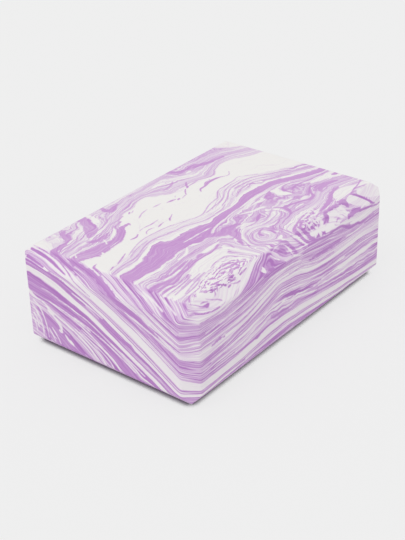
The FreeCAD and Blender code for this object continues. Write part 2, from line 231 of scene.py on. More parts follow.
strataLines = {
    96: {
        "top": [(-10, -50), (-10.5, -54), (-7, -56), (-3, -54), (-3.5, -49.5), (-7, -48), (-10, -50)],
    },
    94: {
        "top": [(-105, -52), (-90, -52), (-72, -49), (-58, -46.5), (-45, -46), (-38, -50), (-34.5, -57),
                (-32.5, -65)],
        "endBevel": [(-52, 0.3), (-57, 3.5), (-63, 8)],
    },
    93: {
        "top": [(4, -57), (12, -53), (25, -51), (40, -49), (55, -51.5), (64, -49), (72, -46), (85, -46),
                (105, -52)],
    },
    92: {
        "front": [(-105, 62.5), (-90, 60.5), (-80, 61), (-70, 63.5)],
        "bevel": [(-60, 12.5), (-52, 9.5), (-45, 5.5), (-38, 2), (-33, 0.3)],
        "top": [(-8, -43.5), (-14, -47), (-16.5, -52.5), (-14, -58), (-8, -61), (-1, -59.5), (3, -54),
                (2, -47.5), (-3, -44), (-8, -43.5)],
    },
    91: {
        "top": [(-105, -42), (-92, -43.5), (-84, -42), (-72, -39.5), (-62, -37.2), (-46, -37.6),
                (-38, -38), (-32, -43), (-30, -52), (-30, -63)],
        "endBevel": [(-42, 0.3), (-46, 2.5), (-52, 6), (-60, 11.5)],
    },
    90: {
        "top": [(-12, -41), (-18, -46), (-21, -52), (-19, -59), (-13, -63)],
    },
    89: {
        "top": [(6, -40), (20, -38), (28, -33), (40, -31), (48, -34), (55, -39), (61, -41), (66, -38),
                (72, -34), (82, -36), (105, -42)],
    },
    88: {
        "top": [(-105, -32), (-90, -33.5), (-75, -32), (-60, -29.5), (-45, -30), (-33, -31), (-25, -36),
                (-24, -45), (-25, -54), (-22, -62)],
        "front": [(-105, 60.5), (-80, 59.5), (-60, 62), (-50, 64.5)],
        "end": [(-55, 66), (-66, 61)],
        "endBevel": [(-32, 0.3), (-40, 3), (-48, 8), (-54, 12.5)],
        "bevel": [(-45, 12), (-38, 8), (-32, 5), (-26, 2), (-24, 0.3)],
    },
    86: {
        "top": [(-105, -27), (-85, -27.5), (-68, -26.5), (-52, -25), (-38, -26), (-5, -22), (10, -19),
                (25, -17), (38, -14), (52, -14), (64, -15.5), (74, -20), (88, -27), (105, -30)],
    },
    84: {
        "top": [(-105, -21.5), (-90, -22), (-75, -21.8), (-60, -21), (-48, -20.5), (-40, -22),
                (-32, -23), (-26, -21), (-18, -17), (-10, -15.2), (0, -14), (15, -13), (30, -12),
                (45, -11.5), (60, -11.5), (70, -14.5), (80, -19.8), (90, -24.3), (105, -28)],
        "front": [(-105, 57), (-60, 58), (-25, 62.5), (0, 62), (20, 60), (40, 57.5), (60, 55),
                  (80, 53.8), (105, 55)],
        "end": [(-50, 65.5), (-66, 57)],
        "endBevel": [(-21.5, 0.3), (-25, 2.5), (-33, 4.5), (-42, 9), (-49, 12.5)],
    },
    79: {
        "top": [(-105, -10), (-92, -9.5), (-82, -9), (-72, -6.5), (-67, -2.5), (-62, 0), (-56, 0.5),
                (-51, -3.5), (-46, -6), (-35, -6), (-25, -7), (-18, -9), (-12, -11.7), (-7, -10),
                (0, -9), (10, -8.5), (20, -9.5), (29, -5.5), (37, -4), (50, -4), (62, -6.2), (72, -10),
                (80, -14), (90, -18.8), (105, -25)],
        "front": [(-105, 52), (-60, 53.5), (-25, 59.5), (0, 58.5), (20, 54), (40, 52), (60, 51),
                  (80, 51), (105, 51)],
        "end": [(-38, 66), (-50, 60), (-60, 54), (-66, 51)],
        "endBevel": [(-10, 0.3), (-17, 3.2), (-24, 5.8), (-31, 9.5), (-37, 12.5)],
    },
    77.5: {
        "top": [(-105, -5), (-85, -3), (-75, -1), (-67, 1.8), (-58, 4), (-50, 3), (-40, 0), (-30, -2),
                (-20, -4.5), (-10, -6.5), (0, -6.5), (12, -6), (22, -4.5), (30, -1.5), (37, 1.3),
                (46, 3), (54, 2.5), (62, 0), (70, -4), (80, -10), (90, -15), (105, -21)],
    },
    73.5: {
        "top": [(-105, 2), (-90, 3.5), (-75, 6.5), (-65, 9), (-55, 10.5), (-45, 10), (-35, 8), (-25, 6),
                (-15, 2.5), (-5, 1), (3, 2), (10, 5), (20, 8), (30, 14.5), (36, 16), (45, 16),
                (56, 17.5), (61, 16), (67, 11), (78, 5.5), (90, -1), (105, -8)],
        "front": [(-105, 46), (-60, 48), (-40, 53.5), (-25, 56.5), (0, 55.5), (20, 50), (40, 48),
                  (60, 48.5), (80, 49), (105, 47.5)],
        "end": [(-30, 66), (-40, 60), (-50, 54), (-66, 45)],
        "endBevel": [(2, 0.3), (-4, 1.5), (-12, 5), (-20, 8.5), (-27, 11.7)],
    },
    70: {
        "front": [(-105, 42), (-80, 43), (-60, 44.5), (-40, 49.5), (-30, 52), (-20, 54), (-10, 53.2),
                  (0, 52.5), (10, 49), (20, 46.5), (40, 45), (60, 45.7), (80, 46), (105, 44)],
    },
    66: {
        "top": [(-105, 24), (-92, 18.5), (-80, 19.5), (-63, 22), (-55, 30), (-49, 40), (-40, 47),
                (-28, 47.5), (-15, 52), (-4, 50), (5, 40.5), (20, 39.5), (36, 38), (44, 34.5),
                (54, 35.5), (62, 41), (74, 41), (88, 36), (105, 30)],
        "front": [(-105, 35.5), (-85, 37), (-70, 39.5), (-60, 41.3), (-50, 43.7), (-40, 46.3),
                  (-30, 49.3), (-22, 51.5), (-10, 50.7), (0, 49.5), (10, 46.5), (20, 44.3), (30, 43),
                  (45, 42.3), (60, 42), (80, 42.8), (105, 41)],
        "end": [(-18, 66), (-33, 61), (-45, 53), (-55, 46), (-66, 39)],
        "endBevel": [(24, 0.3), (15, 1.5), (5, 4), (-5, 7.7), (-10, 10), (-17, 12.8)],
    },
    62: {
        "top": [(-105, 34), (-85, 35), (-70, 38), (-55, 42), (-40, 51), (-20, 56), (0, 56), (20, 52),
                (34, 46), (48, 44), (60, 48), (75, 49), (90, 45), (105, 38)],
        "endBevel": [(34, 0.3), (25, 2), (10, 5), (0, 9), (-8, 12.5)],
    },
    58: {
        "top": [(-105, 43), (-88, 46), (-72, 50), (-62, 56), (-58, 65), (22, 65), (36, 58), (50, 57),
                (65, 57), (80, 55), (105, 44)],
        "front": [(-105, 28), (-60, 31), (-25, 37), (0, 35), (40, 31), (80, 29.5), (105, 28)],
        "endBevel": [(43, 0.3), (30, 3), (20, 5.5), (10, 8.5), (0, 12.3)],
    },
    55.5: {
        "front": [(0, 29), (20, 26), (40, 23.7), (60, 22.3), (80, 21.5), (105, 20)],
    },
    55: {
        "top": [(-105, 50), (-92, 55), (-89, 66), (87, 66), (95, 57), (105, 48)],
    },
    53: {
        "front": [(-105, 21), (-60, 22.5), (-40, 25), (-30, 26), (0, 25), (20, 22), (40, 19.5),
                  (60, 17.5), (80, 15.5), (105, 15)],
        "end": [(10, 64.5), (0, 61.5), (-10, 57.3), (-20, 52), (-30, 47.2), (-40, 41.5), (-50, 35.5),
                (-60, 29.5), (-66, 25.5)],
        "endBevel": [(50, 0.3), (40, 3), (30, 6.3), (20, 9.3), (10, 12)],
    },
    46: {
        "back": [(-100, 61), (0, 63), (100, 62)],
        "endBevel": [(66, 1.5), (55, 4), (45, 6.3), (35, 9.5), (26, 12.5)],
    },
    44: {
        "front": [(-105, 14.8), (-80, 15.8), (-60, 17.2), (-40, 19.8), (-30, 20.8), (-20, 21),
                  (0, 20.2), (20, 18.7), (40, 17), (60, 15.3), (80, 13.8), (105, 12)],
        "end": [(20, 62), (10, 58.5), (0, 54.5), (-10, 50), (-20, 45), (-30, 39), (-40, 33), (-50, 27),
                (-60, 20.5), (-66, 17)],
    },
    41: {
        "end": [(45, 66), (30, 63.5), (20, 60), (10, 56), (0, 51.5), (-10, 46.8), (-20, 41.3),
                (-30, 35.5), (-40, 29.5), (-50, 23), (-60, 17)],
        "front": [(-105, 12.5), (-80, 13.3), (-60, 14.5), (-20, 18), (0, 17.5), (20, 16), (40, 14),
                  (60, 12.5)],
        "endBevel": [(66, 7.5), (55, 8.7), (46, 11.8)],
    },
    37: {
        "end": [(66, 67), (40, 63.5), (30, 60.8), (20, 57.3), (10, 52.5), (0, 47.5), (-10, 42),
                (-20, 36.5), (-27, 32.5), (-45, 22.5), (-60, 13)],
        "back": [(-60, 55), (0, 57), (60, 54)],
        "front": [(-105, 10.3), (-20, 14.5), (20, 12.5)],
    },
    31: {
        "end": [(66, 65), (55, 63.8), (45, 61.5), (35, 57.8), (25, 53.3), (15, 49), (5, 43.8),
                (-5, 37.8), (-15, 31.7), (-30, 23.5), (-40, 18.5)],
    },
    27: {
        "end": [(66, 58.3), (50, 55.3), (40, 52.5), (30, 49.2), (20, 45.7), (10, 41.7), (0, 36.7),
                (-10, 31.7), (-20, 26.5), (-35, 18.3), (-48, 10.5)],
        "back": [(-100, 50), (-40, 48), (20, 50), (100, 46)],
        "under": [(-90, -55), (0, -62), (90, -58)],
    },
    23: {
        "end": [(12, 38), (2, 33), (-8, 27.7), (-17, 22), (-26, 15.5), (-32, 10)],
    },
    19: {
        "end": [(24, 35), (14, 30.3), (4, 25.3), (-5, 19.5), (-12, 14), (-16, 10)],
    },
    15: {
        "end": [(66, 40), (50, 38), (40, 34.5), (30, 30), (20, 25.5), (12, 21), (5, 15.5), (0, 10)],
        "back": [(-100, 34), (-30, 36), (30, 33), (100, 35)],
        "under": [(-90, -20), (-20, -28), (50, -20), (100, -26)],
    },
    6: {
        "end": [(66, 33), (52, 28), (35, 18), (25, 10)],
        "back": [(-60, 26), (0, 23), (60, 26)],
        "under": [(-80, 8), (0, 2), (80, 10)],
    },
    -4: {
        "back": [(-100, 14), (0, 12), (100, 15)],
        "under": [(-100, 32), (0, 26), (100, 34)],
    },
    -14: {
        "under": [(-60, 56), (0, 50), (60, 58)],
    },
}


def onFace(face, a, b):  # a place on a face, from its two coordinates in mm
    length, width, tall = [side / mm for side in brick["size"]]
    leg = brick["bevel"] / mm
    slope = b / math.sqrt(2)  # along a bevel, b runs down it from the top face
    return {
        "top": (a, b, tall),
        "under": (a, b, 0),
        "front": (a, -width / 2, b),
        "back": (a, width / 2, b),
        "end": (-length / 2, a, b),
        "bevel": (a, leg - width / 2 - slope, tall - slope),
        "endBevel": (leg - length / 2 - slope, a, tall - slope),
    }[face]


def curveThrough(path, stepLength):  # points about a step apart on a smooth curve through the path's points
    path = np.array(path, float)
    ends = np.vstack([2 * path[0] - path[1], path, 2 * path[-1] - path[-2]])
    fine = []
    for p, q, r, s in zip(ends, ends[1:], ends[2:], ends[3:]):
        steps = max(1, math.ceil(np.linalg.norm((r - q)[:3]) / stepLength))
        bend = 2 * p - 5 * q + 4 * r - s
        twist = 3 * q - p - 3 * r + s
        fine += [q + 0.5 * ((r - p) * t + bend * t ** 2 + twist * t ** 3) for t in np.arange(steps) / steps]
    return np.array(fine + [path[-1]])


strataFit = {
    "lineStep": 6.0,  # mm, between the marks that hold a line in place
    "reach": 4.0,  # mm, rounds the field off at each mark
    "slack": 1.0,  # lets the field miss a mark a little rather than kink
    "span": 100.0,  # mm, over which the plain slope of the stack is measured
    "batch": 5000,  # mesh points taken together
}


def fitStrata():  # a smooth field in space that takes each line's level on that line
    spots, levels = [], []
    for level, faces in strataLines.items():
        for face, line in faces.items():
            held = curveThrough([onFace(face, a, b) for a, b in line], strataFit["lineStep"])
            spots.append(held)
            levels += [level] * len(held)
    spots = np.vstack(spots)

    def apart(points):
        squares = (points ** 2).sum(1)[:, None] + (spots ** 2).sum(1) - 2 * points @ spots.T
        return np.sqrt(np.maximum(squares, 0) + strataFit["reach"] ** 2)

    def tilt(points):
        return np.c_[np.ones(len(points)), points / strataFit["span"]]

    slopes = tilt(spots)
    count, terms = slopes.shape
    matrix = np.zeros((count + terms, count + terms))
    matrix[:count, :count] = apart(spots) - strataFit["slack"] * np.eye(count)
    matrix[:count, count:] = slopes
    matrix[count:, :count] = slopes.T
    weights = np.linalg.solve(matrix, np.r_[levels, np.zeros(terms)])
    print("strata:", len(strataLines), "levels,", count, "marks")

    def field(points):  # levels, and how they rise in each direction
        levels, rises = [], []
        for part in np.array_split(points, max(1, len(points) // strataFit["batch"])):
            lengths = apart(part)
            pull = weights[:count] / lengths
            levels.append(lengths @ weights[:count] + tilt(part) @ weights[count:])
            plain = weights[count + 1:] / strataFit["span"]  # the same everywhere
            rises.append(part * pull.sum(1)[:, None] - pull @ spots + plain)
        return np.concatenate(levels), np.vstack(rises)
    return field


# Marks over the strata, as brush strokes on each face: points of two coordinates and a width there, in mm

hazes = {
    "bevel": [
        [(-19, 5, 4), (-13, 7, 9), (-9, 9, 8), (-12, 12, 4)],
        [(-1, 2, 3), (2, 7, 6), (4, 12, 6)],
        [(39, 6, 3), (43, 4.5, 5)],
    ],
    "end": [
        [(62, 36, 6), (61, 28, 8), (59, 20, 9), (57, 12, 9)],
        [(34, 31, 3), (28, 26, 6), (22, 20, 7), (14, 14, 7)],
    ],
    "top": [
        [(0, 51, 12), (12, 47, 12), (26, 47, 14), (42, 44, 16), (58, 50, 14), (75, 48, 12),
         (92, 41, 12), (106, 36, 11)],
        [(-8, 60, 7), (18, 63, 6), (45, 63, 10), (65, 60, 16), (80, 58, 10)],
        [(-106, 39, 9), (-95, 40, 9), (-86, 40, 8)],
        [(-84, 64, 8), (-82, 57, 10), (-80, 50, 8)],
        [(0, -24, 10), (12, -27, 14), (28, -27, 16), (44, -28, 14)],
        [(62, -25, 10), (76, -27, 8), (92, -29, 5)],
        [(4, -46, 8), (16, -44, 18), (34, -42, 18), (52, -38, 12), (66, -34, 8)],
        [(30, -52, 8), (52, -50, 10), (70, -46, 12), (86, -45, 12), (106, -50, 10)],
        [(-23, -38, 4), (-26, -46, 4), (-28, -54, 4), (-27, -63, 4)],
        [(12, -63, 4), (22, -60.5, 6), (34, -59.5, 7), (46, -60, 5)],
        [(-24, -36, 5), (-27, -46, 8), (-26, -56, 8), (-22, -64, 7)],
        [(-85, 52, 6), (-82, 58, 10), (-76, 62, 10), (-72, 57, 6)],
        [(3, -36, 6), (12, -37, 10), (24, -34, 12), (32, -31, 8)],
        [(3, -50, 8), (4, -57, 9), (3, -64, 9)],
        [(60, 0, 3), (72, -3, 7), (88, -8, 9), (106, -14, 10)],
        [(14, 53, 5), (22, 54, 8), (29, 55, 6)],
    ],
}

violetPatches = {
    "top": [
        [(33, 67, 5), (37, 60, 4), (43, 57, 3), (52, 57, 5), (58, 54, 5), (66, 51, 3), (80, 49, 2)],
        [(50.5, -16, 1), (47, -18, 4), (44, -20.5, 7), (40, -22, 3)],
        [(70, -41, 2), (77, -39.5, 4), (85, -41, 3), (93, -44, 2)],
        [(44, -62.5, 1.5), (52, -61.5, 2.5), (60, -59.5, 4), (66, -57.5, 4), (71, -54.5, 3.5),
         (78, -52, 3), (85, -51.5, 1.5)],
        [(-106, 28.5, 8), (-97, 27, 11), (-91, 25.5, 12), (-84, 25, 11), (-78, 26, 7), (-72, 25, 5),
         (-65, 25.5, 6), (-60, 28.5, 6), (-56, 32, 5), (-51, 33.6, 3), (-46, 34, 1.4)],
        [(-83, 38, 2), (-79, 35, 4), (-74, 33.5, 5), (-69, 34.5, 3), (-66, 36.5, 1)],
        [(-58, 37.5, 2), (-53, 39, 1.8), (-47, 40, 0.8)],
        [(-60, 67, 7), (-62, 60, 8), (-64, 55, 7), (-67, 50, 10), (-72, 45.5, 8), (-77, 42, 3)],
        [(-39.5, 66, 3), (-41, 60.5, 4), (-38, 57, 6), (-34, 58.5, 3.4), (-29, 60, 1.4)],
        [(-30, -21.5, 4), (-26, -24, 5), (-20, -27, 8), (-13, -27, 9), (-7, -27.5, 5), (-3, -28.5, 2)],
        [(-14, -30, 9), (-17, -36, 7), (-21, -42, 3.4), (-25, -48, 2)],
        [(72, -45, 2), (78, -42, 5), (86, -42, 4), (94, -45, 2)],
        [(-106, 48, 5), (-97, 48, 4), (-91, 50, 3), (-87, 54, 4), (-85, 59, 4), (-81, 62, 3)],
        [(50, -7.5, 5), (60, -8.6, 6), (68, -11, 6.5), (76, -15, 6), (84, -18.5, 5), (94, -21.7, 4.4),
         (106, -25.2, 4)],
    ],
    "endBevel": [
        [(47.5, 0, 5), (43, 1.5, 3.5), (37, 3.2, 2.6), (31, 5, 2.2), (26, 7, 1.6), (21.5, 9, 0.8)],
        [(-12, 12, 3), (-4, 9, 4), (4, 6, 4), (12, 4, 3.5), (22, 2.5, 3), (33, 1, 2)],
    ],
    "end": [
        [(-50, 48.5, 1), (-42, 52, 2.5), (-34, 56.5, 4), (-25, 59.5, 4), (-14, 63.5, 3), (-8, 66, 3)],
        [(-27, 31.5, 2), (-23, 33.5, 4), (-16, 35.5, 3), (-8, 39, 2.5), (0, 43.5, 3)],
        [(49, 29, 2), (47, 26, 6), (43, 21, 7), (40, 15, 6), (36, 10, 5)],
        [(33, 20, 2.5), (28, 18, 4), (23, 15, 5), (19, 11, 5)],
        [(52, 17, 3), (50, 12, 5)],
        [(26, 43.5, 1), (34, 46, 3), (43, 48.2, 5), (52, 49.5, 7), (60, 50, 9), (66, 51, 10)],
        [(13, 50.5, 1.6), (20, 54, 3.4), (28, 57.5, 4), (36, 61, 4), (44, 63.8, 3)],
    ],
    "bevel": [
        [(-15, 4.5, 1.5), (-11, 5.5, 3), (-9, 8, 2.5)],
        [(10, 0, 3), (12, 4, 4), (13, 8, 2.5), (15, 12, 2)],
        [(17, 0, 3), (18, 5, 4.5), (19.5, 9, 4), (21, 13, 2.5)],
        [(43, 1, 1.5), (45, 3.5, 3.4), (43, 6.5, 2)],
        [(45, 0, 2), (52, 0.6, 3), (59, 0.8, 3), (64, 1.5, 2)],
        [(66, 0, 4), (69, 2, 6), (70, 5.5, 3)],
        [(63, 13, 2), (68, 11.5, 4), (74, 11.5, 4), (80, 12, 2)],
        [(-56, 13, 0.6), (-49, 11.2, 1.4), (-43, 8, 1.2), (-37, 4.6, 0.8)],
        [(-32, 8.5, 1.2), (-30.5, 11, 2.2), (-27, 13, 1.6)],
        [(-33.2, 7.5, 0.8), (-31.5, 10, 2.4), (-30, 12.5, 2)],
        [(-9, 0.5, 1.2), (-4, 1.6, 1.6), (-1.8, 5.5, 2.2), (-1, 12, 2.4)],
    ],
    "front": [
        [(-94, 41.6, 0.6), (-90, 42.3, 1.8), (-86, 43, 2.6), (-81, 42.3, 1)],
        [(-30, 31, 2), (-24, 29.5, 4), (-17, 28.5, 4), (-10, 27.5, 2)],
        [(-49, 23.5, 1.2), (-44, 24, 2), (-38, 25, 1)],
        [(15, 54, 1.5), (28, 53.5, 3), (42, 53, 3), (54, 53, 1.5)],
    ],
}

whitePatches = {
    "top": [
        [(-78, -48, 6), (-68, -46, 10), (-58, -44, 12), (-48, -43, 10), (-40, -43, 6), (-36, -42, 3)],
        [(-106, -56, 3), (-95, -58, 6), (-80, -60, 10), (-65, -60, 14), (-52, -58, 12), (-43, -58, 7),
         (-37, -64, 2)],
        [(-35, -40, 3), (-33.5, -48, 3.5), (-32, -56, 3), (-30, -64, 2.5)],
        [(-106, -23.5, 2.4), (-92, -23.8, 2.4), (-84, -25, 2), (-76, -24.3, 1)],
        [(-48, -14, 0.8), (-38, -14.8, 1.4), (-28, -15, 1.3), (-18, -15.8, 0.8)],
        [(-49, -33.5, 1.5), (-44, -33.5, 3.5), (-37, -33, 2.6), (-31, -33, 1)],
        [(-66, -26.5, 1.2), (-58, -26, 2.2), (-53, -23, 1.5), (-50, -20.5, 0.8)],
        [(-47, -20.5, 1), (-43.5, -22, 2.2), (-40, -24, 1)],
        [(56, -16.8, 1.6), (64, -17, 1.2), (72, -18.5, 0.8)],
        [(22, -18.5, 1), (30, -18.5, 1.8), (36, -20, 3.5), (38, -18, 2)],
        [(9, -20, 1), (13, -22, 2), (18, -24.5, 2), (26, -26, 2.5), (29, -28, 1.6)],
        [(18, -14, 0.8), (28, -13.2, 1.2), (37, -12.2, 1)],
        [(-7, -33, 2), (-1, -33, 4), (5, -35, 1.6)],
        [(53, -41, 1.2), (58, -41.5, 3.5), (61, -42.5, 1.2)],
        [(61, -46.5, 0.8), (65, -43, 1.2), (69, -38.5, 1.4), (73, -36.5, 1.2)],
        [(80, -32, 2), (88, -33.5, 5), (96, -35, 6), (100, -39, 4), (106, -42, 3)],
        [(98, -33, 3), (106, -34, 3)],
        [(69, -60, 3), (74, -58, 6), (80, -57, 6.5), (87, -57.5, 5.5), (94, -60.5, 4), (106, -64, 5)],
        [(66, -63, 2), (75, -62, 4), (88, -61, 4)],
        [(52, -17, 3), (54, -19.5, 6.5), (53, -23.5, 6.5), (55, -27.5, 4.5), (56.5, -31, 1.5)],
        [(-73, 28.3, 0.6), (-69, 29, 1.6), (-64, 31.5, 2.6), (-60, 35, 2), (-57, 38, 0.8)],
        [(-103, 29.5, 0.5), (-101.5, 31.5, 1), (-100, 33.2, 0.6)],
        [(-54, 66, 3), (-55, 60, 4), (-56, 55, 4), (-57, 52, 2)],
        [(28, 66, 1.2), (31, 58, 1.2), (36, 50, 1.4), (43, 46.5, 1.4), (52, 47, 1.2), (60, 50, 0.8)],
        [(40, 53, 1.4), (44, 53, 2.4)],
        [(7, 57, 1.5), (12, 57, 2.6), (17, 55.5, 1.5)],
        [(90, 66, 2), (95, 62, 7), (102, 56, 8), (107, 52, 8)],
        [(29, -35, 1), (31, -40, 1.6), (30, -45, 0.8)],
        [(-3, -50, 1.6), (-2.5, -53, 1.6)],
        [(27, -61.7, 1), (30, -61.3, 2.2)],
        [(36, -63, 1), (42, -62, 1.6), (48, -60, 1)],
        [(40, -57.3, 1.4), (44, -56.8, 2)],
        [(-62, -46.8, 3), (-50, -45.8, 3.4), (-43, -47, 3), (-38.8, -53, 2.6), (-35, -61, 2.4)],
        [(-59, -51, 1.4), (-50, -50, 1.8), (-44, -52, 1.8), (-41.5, -57, 1.6)],
        [(-104, -55, 3), (-92, -56, 5), (-82, -55, 4)],
        [(-106, -44, 1.6), (-98, -43.8, 1.2), (-92, -45, 0.8)],
        [(-106, -48.3, 3), (-96, -48.5, 3), (-86, -48, 2.4), (-78, -46, 1.6)],
        [(-106, -52, 3), (-94, -53, 3.5), (-84, -52, 3)],
        [(-92, -36.5, 1.2), (-84, -36.7, 1.6), (-76, -35.8, 1.2)],
        [(41, -33.7, 1), (45, -34.2, 1.8), (50, -35, 1.2)],
        [(39, -46.3, 0.8), (43, -45.7, 1.5), (48, -46.4, 1)],
        [(96, 66, 6), (102, 63, 7), (107, 60, 7)],
        [(-89, 17.8, 1.6), (-88, 20, 1)],
        [(-99.5, 19.6, 1.8), (-98.2, 21.6, 0.7)],
        [(-54, 35.8, 0.5), (-50, 36.7, 1.1), (-44, 37.6, 1.3)],
        [(-77.4, 25.8, 0.6), (-75.4, 28.6, 1.7), (-74, 31.8, 0.8)],
    ],
    "bevel": [
        [(-102, 2, 3), (-90, 4, 9), (-75, 5, 10), (-60, 5, 8), (-48, 4, 5), (-38, 1, 2)],
        [(75, 3, 5), (80, 5, 9), (86, 9, 6), (90, 12, 4)],
        [(88, 2, 4), (97, 5, 9), (106, 6, 12)],
        [(-37, 9.5, 2), (-35.5, 10, 3.2), (-35, 7.8, 1.6)],
        [(6, 0, 1.4), (8.6, 5, 1.8), (11, 10, 1.6), (13.5, 13, 1)],
        [(13.6, 2, 0.8), (14.6, 7, 1), (17, 11, 0.9)],
        [(47, 7, 3), (50, 5, 4), (55, 4.5, 4)],
        [(59, 3.5, 2), (63, 5, 3.4), (64.5, 9, 2.4)],
        [(22, 8, 3), (27, 8.5, 4), (34, 7, 6), (37, 3, 5), (36, 10, 5), (45, 11, 4)],
        [(-22.5, 4, 0.5), (-21, 7, 0.8), (-18, 9.5, 0.6)],
        [(-98, 6, 1.5), (-88, 9, 5), (-76, 9.5, 6), (-64, 7.5, 5), (-54, 5, 3)],
        [(-20, 3, 0.6), (-14, 1.6, 0.9), (-8, 2.2, 0.9), (-5.4, 5, 1.2), (-4.6, 8.5, 1.8),
         (-4.4, 12, 1.2)],
    ],
    "front": [
        [(66, 60.5, 2), (74, 59.5, 4), (84, 58.5, 4), (95, 59, 3.5), (106, 59, 4)],
        [(-4, 65.7, 1.6), (0, 64, 1.2), (6, 62, 0.8)],
        [(-38, 36.5, 0.8), (-28, 38, 1.8), (-16, 37.3, 1.6), (-5, 35.5, 0.8)],
        [(20, 31, 0.8), (40, 31.5, 1.5), (60, 31.5, 2.2), (80, 31.3, 2.6), (105, 30.5, 2.4)],
        [(44, 37, 0.8), (52, 37, 1.4), (60, 36.5, 0.8)],
    ],
    "end": [
        [(39, 21.5, 1.8), (37, 21, 2.6)],
        [(60, 29.5, 1.4), (58.5, 27, 2)],
        [(58.5, 22.5, 1.6), (57, 20, 1.2)],
        [(53, 39, 0.8), (49, 37, 2), (46.5, 33.8, 3.6), (43.5, 32.4, 1.2)],
        [(44, 30.5, 0.8), (40.5, 28.4, 2.2), (38, 25.6, 2.8), (37, 22.6, 2)],
        [(34, 19.5, 0.8), (31, 16.4, 1.8), (28.5, 15.4, 2.8), (26, 13, 0.8)],
        [(33.5, 30, 0.8), (30, 27.6, 1.4), (26, 26, 0.8)],
        [(62.5, 27, 1), (60, 22.5, 1.6), (59, 17, 1)],
        [(52, 39, 0.8), (59, 40.4, 1.8), (63, 42, 3), (66, 43.5, 4)],
    ],
}

crumbs = {
    "top": [
        [(13, -63.5, 4), (24, -61, 6), (34, -60, 7), (44, -58.5, 4)],
    ],
    "bevel": [
        [(20, 1, 3), (26, 3, 7), (33, 3, 6)],
        [(24, 10.5, 2), (30, 11.5, 3), (35, 12, 1.5)],
    ],
}

knots = {
    "top": [
        [(-96, -64, 3), (-86, -63, 8), (-74, -62, 14), (-60, -60.5, 17), (-50, -60, 13), (-42, -61.5, 5)],
    ],
}

